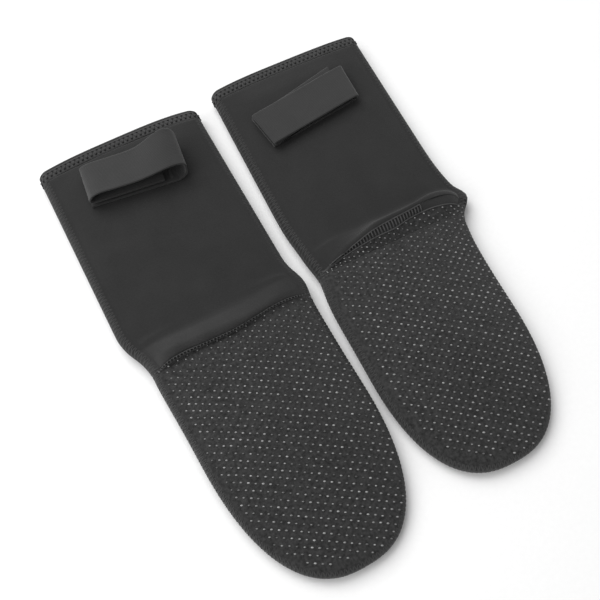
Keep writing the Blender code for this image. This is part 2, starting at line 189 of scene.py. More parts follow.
def quads(rows: int, columns: int, close_rows: bool = False, close_columns: bool = False) -> Array:
    """Faces of a grid whose points are numbered row by row.

    Args:
        rows: How many rows of points.
        columns: How many points in a row.
        close_rows: The last row joins the first.
        close_columns: The last column joins the first.

    Returns:
        Four point numbers for each face.
    """
    i, j = np.meshgrid(
        np.arange(rows if close_rows else rows - 1),
        np.arange(columns if close_columns else columns - 1),
        indexing="ij",
    )
    below, beside = (i + 1) % rows, (j + 1) % columns
    corners = (i * columns + j, i * columns + beside, below * columns + beside, below * columns + j)
    return np.stack(corners, axis=-1).reshape(-1, 4)


# ---------------------------------------------------------------- pieces


class Slot(Enum):
    """Material slots of the record."""

    NEOPRENE = "neoprene"
    SOLE = "grip_sole"
    BINDING = "cuff_binding"
    THREAD = "seam_thread"
    ELASTIC = "elastic"
    TAPE = "hook_and_loop"


@dataclass(frozen=True)
class Place:
    """A frame that lies on the floor: its origin in millimetres and its turn about the vertical."""

    origin: tuple[float, float, float]
    turn: float

    def out(self, local: Array) -> Array:
        """Local points to the row frame, still in millimetres."""
        c, s = math.cos(self.turn), math.sin(self.turn)
        x, y, z = local[..., 0], local[..., 1], local[..., 2]
        return np.stack([x * c - y * s, x * s + y * c, z], axis=-1) + np.array(self.origin)

    def metres(self, local: tuple[float, float, float]) -> tuple:
        """One local point in the row frame in metres."""
        return tuple(self.out(np.array(local, float)) * MM)


@dataclass
class Surface:
    """A shape in the making: points, four-sided faces, and where each point lies in the cloth."""

    points: Array
    faces: Array
    cloth: Array
    # shade: a value for each point, the dots' strength of print or, on the neoprene, the painted highlight
    # over the heel fold
    shade: Array | None = None

    @classmethod
    def from_grid(cls, grid: Array, close_rows: bool = False, close_columns: bool = False) -> "Surface":
        """A surface on a grid of points; its cloth coordinates are the lengths run along columns and rows.

        Args:
            grid: Points as (rows, columns, 3).
            close_rows: The last row joins the first.
            close_columns: The last column joins the first.

        Returns:
            The surface.
        """
        rows, columns = grid.shape[:2]
        across = np.linalg.norm(np.diff(grid, axis=1, prepend=grid[:, :1]), axis=-1).cumsum(1)
        across -= across[:, columns // 2, None]
        down = np.linalg.norm(np.diff(grid, axis=0, prepend=grid[:1]), axis=-1).cumsum(0)
        cloth = np.stack([across, down], axis=-1).reshape(-1, 2)
        return cls(grid.reshape(-1, 3), quads(rows, columns, close_rows, close_columns), cloth)

    @classmethod
    def join(cls, parts: list["Surface"]) -> "Surface":
        """Several surfaces as one."""
        starts = np.cumsum([0] + [len(p.points) for p in parts[:-1]])
        faces = np.vstack([p.faces + s for p, s in zip(parts, starts)])
        shade = np.concatenate([p.shade for p in parts]) if parts[0].shade is not None else None
        points = np.vstack([p.points for p in parts])
        return cls(points, faces, np.vstack([p.cloth for p in parts]), shade)

    def face_outwards(self, outward: Array | None) -> None:
        """Turn all the faces over if they point the wrong way.

        Args:
            outward: A direction for each point, or one for all; None on a closed shape, whose signed volume,
                the sum of a . (b x c) over its faces' corners, then has to be positive.
        """
        a, b, c, d = (self.points[self.faces[:, k]] for k in range(4))
        normals = np.cross(c - a, d - b)
        if outward is None:
            tallied = ((a + b + c + d) * normals).sum()
        else:
            wanted = np.broadcast_to(outward, self.points.shape)[self.faces[:, 0]]
            tallied = (normals * wanted).sum()
        if tallied < 0:
            self.faces = self.faces[:, ::-1]


def sample(grid: Array, row: Array, column: Array) -> Array:
    """Values between the points of a grid, by bilinear weights.

    Args:
        grid: Values as (rows, columns, numbers).
        row: Rows, with fractions.
        column: Columns, with fractions.

    Returns:
        The value at each place.
    """
    r0 = np.clip(np.floor(row).astype(int), 0, grid.shape[0] - 2)
    c0 = np.clip(np.floor(column).astype(int), 0, grid.shape[1] - 2)
    r, c = (row - r0)[..., None], (column - c0)[..., None]
    upper = grid[r0, c0] * (1 - c) + grid[r0, c0 + 1] * c
    lower = grid[r0 + 1, c0] * (1 - c) + grid[r0 + 1, c0 + 1] * c
    return upper * (1 - r) + lower * r


def slab(grid: Array, normals: Array, thickness: float) -> Surface:
    """A closed sheet: the grid in front, the same grid set back along its normals, and four sides.

    Args:
        grid: Points of the front, as (rows, columns, 3).
        normals: The way out at each of them.
        thickness: How far the back is set back.

    Returns:
        The sheet; the cloth coordinates of its back are those of its front.
    """
    rows, columns = grid.shape[:2]
    around = np.concatenate([grid, (grid - normals * thickness)[:, ::-1]], axis=1)
    shape = Surface.from_grid(around, close_columns=True)
    j = np.arange(columns - 1)
    cap = np.stack([j, 2 * columns - 1 - j, 2 * columns - 2 - j, j + 1], axis=-1)
    last = cap[:, ::-1] + (rows - 1) * 2 * columns
    shape.faces = np.vstack([shape.faces, cap, last])
    front = Surface.from_grid(grid).cloth.reshape(rows, columns, 2)
    shape.cloth = np.concatenate([front, front[:, ::-1]], axis=1).reshape(-1, 2)
    shape.face_outwards(None)
    return shape


def strands(paths: Array, up: Array, radius: float, flatten: float = 1.0) -> Surface:
    """Many short round threads as one surface.

    Each thread is a six-sided tube round its path that narrows at its two ends, which are closed. A ring's
    points are path + radius * (cos(a) * side + flatten * sin(a) * up), where side is the path's direction
    crossed with up.

    Args:
        paths: Points of the paths, as (threads, points, 3).
        up: The direction away from the cloth at each of them.
        radius: Half of the thread's width.
        flatten: The thread's height as a share of its width.

    Returns:
        One surface with every thread.
    """
    count, steps = paths.shape[:2]
    along = unit(np.gradient(paths, axis=1))
    side = unit(np.cross(along, up))
    lift = unit(np.cross(side, along))
    angles = np.arange(6) * math.pi / 3
    narrow = np.ones(steps)
    narrow[[0, -1]] = 0.45
    upright = flatten * np.sin(angles)[:, None] * lift[:, :, None]
    ring = np.cos(angles)[:, None] * side[:, :, None] + upright
    points = paths[:, :, None] + radius * narrow[:, None, None] * ring
    tube = quads(steps, 6, close_columns=True)
    last = (steps - 1) * 6
    first_cap = np.array([[3, 2, 1, 0], [5, 4, 3, 0]])
    last_cap = np.array([[0, 1, 2, 3], [0, 3, 4, 5]]) + last
    one = np.vstack([tube, first_cap, last_cap])
    faces = (one[None] + (np.arange(count) * steps * 6)[:, None, None]).reshape(-1, 4)
    run = np.broadcast_to((np.arange(steps) * radius)[None, :, None], (count, steps, 6))
    turn = np.broadcast_to(angles * radius, (count, steps, 6))
    cloth = np.stack([turn, run], axis=-1).reshape(-1, 2)
    made = Surface(points.reshape(-1, 3), faces, cloth)
    made.face_outwards(None)
    return made


def make_piece(
    name: str,
    shape: Surface,
    finish: bpy.types.Material,
    outward: Array | None = None,
    wall: float = 0.0,
    merge: float = 0.0,
) -> bpy.types.Object:
    """Write a surface to an object.

    Args:
        name: The piece's name.
        shape: Its surface, in millimetres in the row frame.
        finish: Its material.
        outward: The side that its faces turn to, or None where it is closed.
        wall: Thickness added behind the surface.
        merge: Points closer than this are merged.

    Returns:
        The new object, which rides on nothing yet.
    """
    shape.face_outwards(outward)
    mesh = bpy.data.meshes.new(name)
    mesh.from_pydata(shape.points * MM, [], shape.faces)
    layer = mesh.uv_layers.new(name="cloth")
    layer.data.foreach_set("uv", shape.cloth[shape.faces.ravel()].astype(np.float32).ravel())
    if shape.shade is not None:
        attribute = mesh.attributes.new("shade", "FLOAT", "POINT")
        attribute.data.foreach_set("value", shape.shade.astype(np.float32))
    if merge:
        work = bmesh.new()
        work.from_mesh(mesh)
        bmesh.ops.remove_doubles(work, verts=work.verts, dist=merge * MM)
        work.to_mesh(mesh)
        work.free()
    mesh.shade_smooth()
    mesh.set_sharp_from_angle(angle=math.radians(50))
    mesh.materials.append(finish)
    made = bpy.data.objects.new(name, mesh)
    bpy.context.scene.collection.objects.link(made)
    if wall:
        solid = made.modifiers.new("wall", "SOLIDIFY")
        solid.thickness = wall * MM
        solid.offset = -1.0
        solid.use_even_offset = False
    LOG.info("%s: %d faces", name, len(mesh.polygons))
    return made


# ---------------------------------------------------------------- finishes


class NodeSheet:
    """A material's nodes, added one after another."""

    def __init__(self, name: str) -> None:
        """Start a material with only its shader and its output."""
        self.material = bpy.data.materials.new(name)
        self.material.use_nodes = True
        self.tree = self.material.node_tree
        self.shader = self.tree.nodes["Principled BSDF"]

    def add(self, kind: str, inputs: dict | None = None, **settings: object) -> bpy.types.Node:
        """Add a node.

        Args:
            kind: The node's type name without "ShaderNode".
            inputs: Values or other nodes' sockets, by socket name or number.
            **settings: The node's own properties.

        Returns:
            The node.
        """
        node = self.tree.nodes.new("ShaderNode" + kind)
        for key, value in settings.items():
            setattr(node, key, value)
        for key, value in (inputs or {}).items():
            self.plug(value, node.inputs[key])
        return node

    def plug(self, value: object, socket: bpy.types.NodeSocket) -> None:
        """Link a socket or set a value."""
        if isinstance(value, bpy.types.NodeSocket):
            self.tree.links.new(value, socket)
        else:
            socket.default_value = value

    def object_place(self) -> bpy.types.NodeSocket:
        """Object coordinates, in metres."""
        return self.add("TexCoord").outputs["Object"]

    def cloth_place(self, turn: float = 0.0) -> bpy.types.NodeSocket:
        """The piece's own cloth coordinates, in millimetres, turned by an angle."""
        uv = self.add("UVMap", uv_map="cloth").outputs["UV"]
        return self.add("Mapping", {"Vector": uv, "Rotation": (0.0, 0.0, turn)}).outputs["Vector"]

    def noise(self, place: bpy.types.NodeSocket, scale: float, detail: float = 3.0) -> bpy.types.NodeSocket:
        """Noise from 0 to 1."""
        return self.add("TexNoise", {"Vector": place, "Scale": scale, "Detail": detail}).outputs["Fac"]

    def wave(
        self, place: bpy.types.NodeSocket, pitch: float, direction: str, wander: float = 0.0
    ) -> bpy.types.NodeSocket:
        """Even ridges across some coordinates.

        Args:
            place: The coordinates, in millimetres.
            pitch: From one ridge to the next.
            direction: The axis that the ridges follow each other along.
            wander: How much they waver.

        Returns:
            Their height, from 0 to 1.
        """
        scale = math.pi / (10.0 * pitch)
        settings = {"Vector": place, "Scale": scale, "Distortion": wander, "Detail": 1.0}
        return self.add("TexWave", settings, bands_direction=direction).outputs["Fac"]

    def math(self, operation: str, *values: object) -> bpy.types.NodeSocket:
        """A Math node's result."""
        return self.add("Math", dict(enumerate(values)), operation=operation).outputs[0]

    def ramp(self, value: bpy.types.NodeSocket, stops: list[tuple[float, tuple]]) -> bpy.types.NodeSocket:
        """A colour for each value.

        Args:
            value: A value from 0 to 1.
            stops: (place, colour) in rising order.

        Returns:
            The colour, which runs evenly from stop to stop.
        """
        node = self.add("ValToRGB", {"Fac": value})
        edge = node.color_ramp.elements
        for found, (place, colour) in zip(edge, (stops[0], stops[-1])):
            found.position = place
            found.color = (*colour, 1.0)
        for place, colour in stops[1:-1]:
            edge.new(place).color = (*colour, 1.0)
        return node.outputs["Color"]

    def bump(self, height: bpy.types.NodeSocket, depth: float, under: object = None) -> bpy.types.NodeSocket:
        """Relief.

        Args:
            height: Its height, from 0 to 1.
            depth: What a height of 1 stands for, in millimetres.
            under: The normal of another bump that it lies on.

        Returns:
            The normal.
        """
        inputs = {"Height": height, "Distance": depth * MM}
        if under is not None:
            inputs["Normal"] = under
        return self.add("Bump", inputs).outputs["Normal"]

    def finish(self, **sockets: object) -> bpy.types.Material:
        """Set the shader's sockets, named with underscores for spaces, and give back the material."""
        for key, value in sockets.items():
            self.plug(value, self.shader.inputs[key.replace("_", " ")])
        return self.material


def grey(value: float) -> tuple[float, float, float]:
    """A neutral grey."""
    return (value, value, value)


@dataclass(frozen=True)
class JerseyFinish:
    """Knitted jersey laminated on neoprene: columns of small loops under a soft bloom, faintly mottled."""

    name: str
    tone: float
    loop_width: float = 0.8
    loop_height: float = 0.62
    depth: float = 0.10
    grain: float = 0.2
    sheen: float = 0.12
    mottle: float = 38.0  # its scale, per metre
    mottle_share: float = 0.35
    painted_highlight: float = 1.0  # painted highlight: how much paler the cloth is painted where the heel fold faces the light

    def build(self) -> bpy.types.Material:
        """Loops are two crossed waves on the cloth; the colour is tone * (1 +- 2 grain), by two noises, mixed
        towards a paler copy where the 'shade' attribute paints a highlight.
        """
        nodes = NodeSheet(self.name)
        cloth = nodes.cloth_place()
        place = nodes.object_place()
        wales = nodes.wave(cloth, self.loop_width, "X", 0.5)
        courses = nodes.wave(cloth, self.loop_height, "Y", 1.2)
        loops = nodes.math("MULTIPLY", wales, courses)
        fuzz = nodes.noise(place, 900.0, 4.0)
        mottle = nodes.noise(place, self.mottle, 3.0)
        rest = nodes.math("MULTIPLY", fuzz, 1 - self.mottle_share)
        mixed = nodes.math("MULTIPLY_ADD", mottle, self.mottle_share, rest)
        lit = nodes.math("MULTIPLY_ADD", loops, 0.18, nodes.math("MULTIPLY", mixed, 0.9))
        low, high = 1 - 2 * self.grain, 1 + 2 * self.grain
        colour = nodes.ramp(lit, [(0.25, grey(self.tone * low)), (0.8, grey(self.tone * high))])
        # Painted highlight: a paler copy of the colour, mixed in by the 'shade' attribute where the heel fold
        # faces the light.
        pale = self.tone * (1 + self.painted_highlight)
        paler = nodes.ramp(lit, [(0.25, grey(pale * low)), (0.8, grey(pale * high))])
        fold_highlight = nodes.add("Attribute", attribute_name="shade").outputs["Fac"]
        colour = nodes.add("MixRGB", {"Fac": fold_highlight, "Color1": colour, "Color2": paler}).outputs["Color"]
        relief = nodes.bump(loops, self.depth, nodes.bump(fuzz, self.depth * 1.6))
        rough = nodes.math("MULTIPLY_ADD", fuzz, 0.2, 0.72)
        return nodes.finish(
            Base_Color=colour,
            Roughness=rough,
            Normal=relief,
            Specular_IOR_Level=0.18,
            Sheen_Weight=self.sheen,
            Sheen_Roughness=0.55,
        )


@dataclass(frozen=True)
class DotFinish:
    """Printed silicone grip dots, pale grey and slightly translucent, each with its own strength of print."""

    name: str = "silicone_grip_dots"
    dark: float = 0.06
    pale: float = 0.38

    def build(self) -> bpy.types.Material:
        """The colour runs from dark to pale with each dot's own shade, and a fine noise dusts it."""
        nodes = NodeSheet(self.name)
        shade = nodes.add("Attribute", attribute_name="shade").outputs["Fac"]
        dust = nodes.noise(nodes.object_place(), 2200.0, 2.0)
        level = nodes.math("MULTIPLY_ADD", dust, 0.3, nodes.math("MULTIPLY_ADD", shade, 0.85, -0.08))
        colour = nodes.ramp(level, [(0.0, grey(self.dark)), (1.0, grey(self.pale))])
        return nodes.finish(
            Base_Color=colour, Roughness=0.48, Specular_IOR_Level=0.4, Normal=nodes.bump(dust, 0.05)
        )


@dataclass(frozen=True)
class ThreadFinish:
    """Twisted polyester thread."""

    name: str
    tone: float
    twist: float = 0.45

    def build(self) -> bpy.types.Material:
        """Slanted ridges round each thread, with a colour that varies from stitch to stitch."""
        nodes = NodeSheet(self.name)
        place = nodes.object_place()
        ply = nodes.wave(nodes.cloth_place(0.7), self.twist, "X")
        worn = nodes.noise(place, 500.0, 2.0)
        level = nodes.math("MULTIPLY_ADD", ply, 0.35, nodes.math("MULTIPLY", worn, 0.65))
        colour = nodes.ramp(level, [(0.2, grey(self.tone * 0.6)), (0.8, grey(self.tone * 1.4))])
        return nodes.finish(
            Base_Color=colour,
            Roughness=0.6,
            Specular_IOR_Level=0.25,
            Sheen_Weight=0.1,
            Normal=nodes.bump(ply, 0.08),
        )


@dataclass(frozen=True)
class WebbingFinish:
    """Woven elastic: fine ribs down its length, crossed by tighter picks, with firmer selvages."""

    name: str = "woven_elastic"
    tone: float = 0.031
    rib: float = 1.25
    pick: float = 0.7

    def build(self) -> bpy.types.Material:
        """Ribs are waves across the band, picks are waves along it; together they set colour and relief."""
        nodes = NodeSheet(self.name)
        cloth = nodes.cloth_place()
        place = nodes.object_place()
        ribs = nodes.wave(cloth, self.rib, "X", 0.25)
        picks = nodes.wave(cloth, self.pick, "Y", 0.4)
        weave = nodes.math("MULTIPLY_ADD", picks, 0.45, nodes.math("MULTIPLY", ribs, 0.55))
        fuzz = nodes.noise(place, 1100.0, 4.0)
        worn = nodes.noise(place, 70.0, 3.0)
        haze = nodes.math("MULTIPLY_ADD", fuzz, 0.35, nodes.math("MULTIPLY", worn, 0.3))
        level = nodes.math("MULTIPLY_ADD", weave, 0.4, haze)
        colour = nodes.ramp(level, [(0.2, grey(self.tone * 0.7)), (0.85, grey(self.tone * 1.35))])
        relief = nodes.bump(weave, 0.16, nodes.bump(fuzz, 0.12))
        return nodes.finish(
            Base_Color=colour,
            Roughness=0.8,
            Specular_IOR_Level=0.2,
            Sheen_Weight=0.2,
            Sheen_Roughness=0.5,
            Normal=relief,
        )


@dataclass(frozen=True)
class TapeFinish:
    """Hook-and-loop tape: a coarse ground with painted glints, bright specks on the nylon."""

    name: str
    tone: float
    gloss: float

    def build(self) -> bpy.types.Material:
        """A grid ground of two waves, with noise for the pile and painted glints, bright ends, on some of it.
        """
        nodes = NodeSheet(self.name)
        cloth = nodes.cloth_place()
        place = nodes.object_place()
        ground = nodes.math("MULTIPLY", nodes.wave(cloth, 1.6, "X"), nodes.wave(cloth, 1.6, "Y"))
        pile = nodes.noise(place, 1500.0, 3.0)
        level = nodes.math("MULTIPLY_ADD", ground, 0.4, nodes.math("MULTIPLY", pile, 0.6))
        # The top stop, three times the tone, paints glints on the pile.
        stops = [(0.3, self.tone * 0.6), (0.62, self.tone * 1.2), (0.8, self.tone * 3)]
        colour = nodes.ramp(level, [(place, grey(tone)) for place, tone in stops])
        return nodes.finish(
            Base_Color=colour,
            Roughness=self.gloss,
            Specular_IOR_Level=0.4,
            Normal=nodes.bump(level, 0.3),
        )


@dataclass(frozen=True)
class FloorFinish:
    """White seamless paper."""

    name: str = "white_paper"

    def build(self) -> bpy.types.Material:
        """Almost even white, with a very faint tooth."""
        nodes = NodeSheet(self.name)
        tooth = nodes.noise(nodes.object_place(), 300.0, 3.0)
        colour = nodes.ramp(tooth, [(0.0, grey(0.93)), (1.0, grey(0.97))])
        return nodes.finish(Base_Color=colour, Roughness=0.9, Specular_IOR_Level=0.1)


@dataclass
class Finishes:
    """Every material of the pair, built once."""

    neoprene: bpy.types.Material
    sole: bpy.types.Material
    binding: bpy.types.Material
    seam: bpy.types.Material
    rib: bpy.types.Material
    stitch: bpy.types.Material
    dots: bpy.types.Material
    webbing: bpy.types.Material
    hooks: bpy.types.Material
    loops: bpy.types.Material

    @classmethod
    def build(cls) -> "Finishes":
        """Make them all."""
        return cls(
            neoprene=JerseyFinish("jersey_neoprene", tone=0.0195).build(),
            sole=JerseyFinish(
                "grip_sole_jersey", tone=0.0315, depth=0.16, grain=0.46, mottle=430.0, mottle_share=0.75
            ).build(),
            binding=JerseyFinish("cuff_binding_jersey", tone=0.056, loop_width=1.0, depth=0.18).build(),
            seam=ThreadFinish("flatlock_thread", tone=0.05).build(),
            rib=ThreadFinish("heel_rib_thread", tone=0.062).build(),
            # Painted shade: the cover stitches are near black to stand for the shade in their stitch holes.
            stitch=ThreadFinish("cover_stitch_thread_painted_shade", tone=0.005).build(),
            dots=DotFinish().build(),
            webbing=WebbingFinish().build(),
            hooks=TapeFinish("hook_tape", tone=0.034, gloss=0.5).build(),
            loops=TapeFinish("loop_tape", tone=0.03, gloss=0.85).build(),
        )


# ---------------------------------------------------------------- the sock's form


@dataclass(frozen=True)
class Hem:
    """Stations and sizes of the turned hem at the cuff."""

    start: float = 2.2
    end: float = 12.2
    roll: float = 1.6
    lip: float = 4.7
    rows: tuple[float, float] = (6.8, 10.3)
    pitch: float = 3.9


@dataclass(frozen=True)
class SockForm:
    """Sizes of one sock, in millimetres and degrees, and the formulas of its flat-lying form."""

    name: str
    inner_side: int
    length: float
    toe_length: float
    leg_width: float
    foot_width: float
    leg_lean: float
    foot_shift: float
    foot_lean: float
    sway: tuple[float, float]  # how far the ankle swings to the right, and over what length
    cuff_bow: tuple[float, float]  # how far each corner of the cuff drops back, left and right
    heel_fold: tuple[tuple[float, float], ...]  # (along, height) over the fold
    heel_shares: tuple[float, float, float]  # where the fold ends, and where the seam starts and ends
    heel_line: tuple[tuple[float, float, float, float], ...]  # (across, top's shift, end's shift, height)
    fold_highlight_spread: tuple[float, float, float, float, float]  # painted highlight on the heel fold: station, across from and to, strength there
    dot_turn: float
    dot_margin: tuple[float, float]
    dot_gather: tuple[float, float]  # the rows close up by this much at the heel, fading over a length
    seed: int
    ankle_bulge: tuple[float, float, float, float]  # left, right, station, width
    rib_pitch: float = 2.6
    rib_end: float = 80.0  # the ribs stop at this place across the sock
    rib_radius: float = 0.55
    cord_radius: float = 0.45  # the threads along the heel seam's edges
    hem: Hem = Hem()

    @property
    def toe_centre(self) -> float:
        """Station of the toe's centre."""
        return self.length - self.toe_length

    def half_width(self, along: Array) -> Array:
        """Half of the flat width: the leg's, eased to the heel's at the ankle, less the foot's taper."""
        heel = self.foot_width + HEEL_FLARE
        ankle = ease(ANKLE - 10.0, ANKLE + 20.0, along)
        taper = ease(ANKLE, self.toe_centre, along)
        return (self.leg_width + (heel - self.leg_width) * ankle - HEEL_FLARE * taper) / 2

    def middle(self, along: Array) -> Array:
        """Sideways place of the middle line: it leans with the leg, then shifts and leans with the foot."""
        leg = self.leg_lean * np.minimum(along, ANKLE)
        shift = self.foot_shift * ease(ANKLE - 25.0, ANKLE + 20.0, along)
        sway = self.sway[0] * bell(SWAY_AT, self.sway[1], along)
        return leg + shift + self.foot_lean * np.maximum(along - ANKLE, 0.0) + sway

    def rim(self, along: Array) -> Array:
        """Radius of the folded edge, lower round the toe."""
        return SIDE_RIM + (TOE_RIM - SIDE_RIM) * ease(self.toe_centre, self.length, along)

    def crest(self, along: Array) -> Array:
        """Height of the top along the middle line, without the heel fold."""
        leg = CUFF_CREST + (LEG_CREST - CUFF_CREST) * ease(HEM_DEPTH, CUFF_RISE, along)
        foot = (FOOT_CREST - LEG_CREST) * ease(ANKLE, CREASE + 20.0, along)
        return leg + foot - (FOOT_CREST - TOE_CREST) * ease(self.toe_centre, self.length, along)

    def profile(
        self, turn: Array, reach: Array, rim: Array, half: Array, top: Array | None
    ) -> tuple[Array, Array]:
        """Distance from the middle line and height of a point on the skin.

        distance = (half - rim) * reach + rim * cos(turn); on top, height = rim + rim * sin(turn) +
        (top - 2 rim) * (1 - reach^4), and underneath it is rim - rim * sin(turn).

        Args:
            turn: Angle round the folded edge, from 0 at the seam to 90 on top.
            reach: 1 at the folded edge and 0 in the middle.
            rim: Radius of the folded edge.
            half: Half of the flat width.
            top: Height of the crest, or None underneath.

        Returns:
            Distance and height.
        """
        swing = np.radians(turn)
        away = (half - rim) * reach + rim * np.cos(swing)
        if top is None:
            return away, rim - rim * np.sin(swing)
        return away, rim + rim * np.sin(swing) + (top - 2 * rim) * (1 - np.abs(reach) ** CROWN_POWER)

    def cuff_shift(self, along: Array, x: Array) -> Array:
        """How far the cuff's corners drop back, fading down the leg: bow * |x / half|^3 on each side."""
        share = np.abs(x) / (self.leg_width / 2)
        bow = np.where(x < 0, self.cuff_bow[0], self.cuff_bow[1])
        return bow * np.minimum(share, 1.1) ** 3 * (1 - ease(0.0, 60.0, along))

    def sideways(self, offset: Array, along: Array) -> Array:
        """Sideways place of a point: the middle line, its offset, and the bulge of the fold's ends.

        The bulge is amount * (offset / half)^2 * exp(-((along - station) / width)^2), and each side has its
        own amount.
        """
        share = np.minimum(np.abs(offset) / (self.foot_width / 2), 1.1)
        amount = np.where(offset < 0, -self.ankle_bulge[0], self.ankle_bulge[1])
        return self.middle(along) + offset + amount * share**2 * bell(*self.ankle_bulge[2:], along)

    def leg_grid(self, along: Array, side: Array, turn: Array, reach: Array, top: bool) -> Array:
        """The leg's skin on a grid; stations lean back by SLANT * height near the ankle.

        Args:
            along: Stations, one for each row.
            side: -1 left or +1 right, one for each column.
            turn: Angle round the folded edge, one for each column.
            reach: Reach, one for each column.
            top: The calf side, or the shin side underneath.

        Returns:
            Points as (rows, columns, 3) in the sock's frame.
        """
        a = along[:, None] + 0.0 * side[None, :]
        crest = self.crest(a) if top else None
        height = self.profile(turn, reach, self.rim(a), self.half_width(a), crest)[1]
        placed = a - SLANT * height * ease(ANKLE - LEG_RAMP, ANKLE, a)
        away = self.profile(turn, reach, self.rim(placed), self.half_width(placed), None)[0]
        x = self.sideways(side * away, placed)
        return np.stack([x, -placed - self.cuff_shift(placed, side * away), height], axis=-1)

    def outline(self, start: float, straight: int, round_steps: int) -> tuple[Array, Array, Array]:
        """The foot's outline, from the left of the heel round the toe to the right.

        Beside the ball it is the half width; round the toe it is a superellipse of power 2.5 about the toe's
        centre: across = half * cos^(2/2.5), ahead = toe_length * sin^(2/2.5).

        Args:
            start: Station where it begins.
            straight: Steps beside the ball.
            round_steps: Steps round the toe.

        Returns:
            Across, ahead and station of each point.
        """
        down = np.linspace(start, self.toe_centre, straight)
        half = float(self.half_width(self.toe_centre))
        swing = np.linspace(0.0, math.pi, round_steps)
        cos, sin = -np.cos(swing), np.abs(np.sin(swing))
        across = np.sign(cos) * np.abs(cos) ** (2 / TOE_POWER) * half
        ahead = sin ** (2 / TOE_POWER) * self.toe_length
        toe = even_steps(np.stack([across, ahead], axis=1), round_steps)
        sides = self.half_width(down[:-1])
        return (
            np.concatenate([-sides, toe[:, 0], sides[::-1]]),
            np.concatenate([0 * sides, toe[:, 1], 0 * sides]),
            np.concatenate([down[:-1], np.full(round_steps, self.toe_centre), down[:-1][::-1]]),
        )

    def foot_grid(self, outline: tuple[Array, Array, Array], turn: Array, reach: Array, kind: str) -> Array:
        """The foot's skin on lines from its outline to its spine.

        Args:
            outline: What outline() gives.
            turn: Angle round the folded edge, for each column.
            reach: Reach, for each column.
            kind: "sole", "instep", or "edge", where the turn goes below 0.

        Returns:
            Points as (outline points, columns, 3) in the sock's frame.
        """
        across, ahead, station = (v[:, None] for v in outline)
        full = np.hypot(across, ahead)
        away = self.profile(turn, reach, self.rim(station + ahead), full, None)[0]
        along = station + ahead * away / full
        rim = self.rim(along)
        if kind == "edge":
            height = rim * (1 + np.sin(np.radians(turn))) + 0 * along
        else:
            top = self.crest(along) if kind == "sole" else None
            height = self.profile(turn, reach, rim, full, top)[1] + 0 * along
        slant = 0.0 if kind == "sole" else SLANT
        placed = along - slant * height * (1 - ease(ANKLE, ANKLE + FOOT_RAMP, along))
        half = self.half_width(placed)
        beside = self.profile(turn, reach, self.rim(placed), half, None)[0] * np.sign(across)
        x = self.sideways(np.where(ahead > 0.1, across * away / full, beside), placed)
        return np.stack([x, -placed, height], axis=-1)

    def sole_height(self, x: Array, along: Array) -> tuple[Array, Array]:
        """Height of the sole at places on it, and how far each is inside the outline.

        The distance from the spine, d, and the outline's distance in that direction, full, turn the profile
        round: beyond full - rim the height is rim + sqrt(rim^2 - (d - full + rim)^2), and inside it is
        2 rim + (crest - 2 rim) * (1 - (d / (full - rim))^4).

        Args:
            x: Sideways place of each point.
            along: Its station.

        Returns:
            Height, and distance to the outline.
        """
        ahead = np.maximum(along - self.toe_centre, 0.0)
        offset = x - self.middle(along)
        half = float(self.half_width(self.toe_centre))
        d = np.hypot(offset, ahead)
        c, s = np.abs(offset) / np.maximum(d, 1e-6), ahead / np.maximum(d, 1e-6)
        toe_full = ((c / half) ** TOE_POWER + (s / self.toe_length) ** TOE_POWER) ** (-1 / TOE_POWER)
        full = np.where(ahead > 0, toe_full, self.half_width(along))
        rim, crest = self.rim(along), self.crest(along)
        flat = full - rim
        over = np.clip(d - flat, 0.0, rim)
        bend = rim + np.sqrt(np.maximum(rim**2 - over**2, 0.0))
        crown = 2 * rim + (crest - 2 * rim) * (1 - np.clip(d / flat, 0.0, 1.0) ** CROWN_POWER)
        return np.where(d > flat, bend, crown), full - d


LEFT_FORM = SockForm(
    name="left",
    inner_side=1,
    length=386.0,
    toe_length=117.5,
    leg_width=137.0,
    foot_width=126.5,
    leg_lean=-0.013,
    foot_shift=6.5,
    foot_lean=0.017,
    sway=(2.0, 14.0),
    cuff_bow=(2.6, 4.2),
    heel_fold=(
        (ANKLE - SLANT * LEG_CREST, LEG_CREST),
        (179.5, 19.3),
        (183.5, 20.6),
        (190.0, 23.4),
        (195.5, 25.6),
        (198.3, 25.4),
        (200.2, 24.0),
        (201.2, 22.2),
        (201.8, 20.6),
        (202.4, 19.4),
    ),
    heel_shares=(0.86, 0.87, 0.93),
    heel_line=(
        (-70.0, -4.0, -0.5, 1.1),
        (-50.0, -2.5, -0.5, 1.1),
        (-25.0, -1.0, 0.0, 1.0),
        (0.0, 0.0, 0.5, 1.0),
        (25.0, -0.5, -1.5, 0.9),
        (40.0, -2.5, -3.0, 0.75),
        (56.0, -4.5, -3.5, 0.5),
        (72.0, -5.5, -3.5, 0.3),
    ),
    fold_highlight_spread=(182.5, 60.0, -60.0, 0.2, 0.7),
    dot_turn=-5.6,
    dot_margin=(7.0, 2.5),
    dot_gather=(3.5, 14.0),
    seed=11,
    ankle_bulge=(-0.6, 0.6, 186.0, 11.0),
    cord_radius=0.2,
)
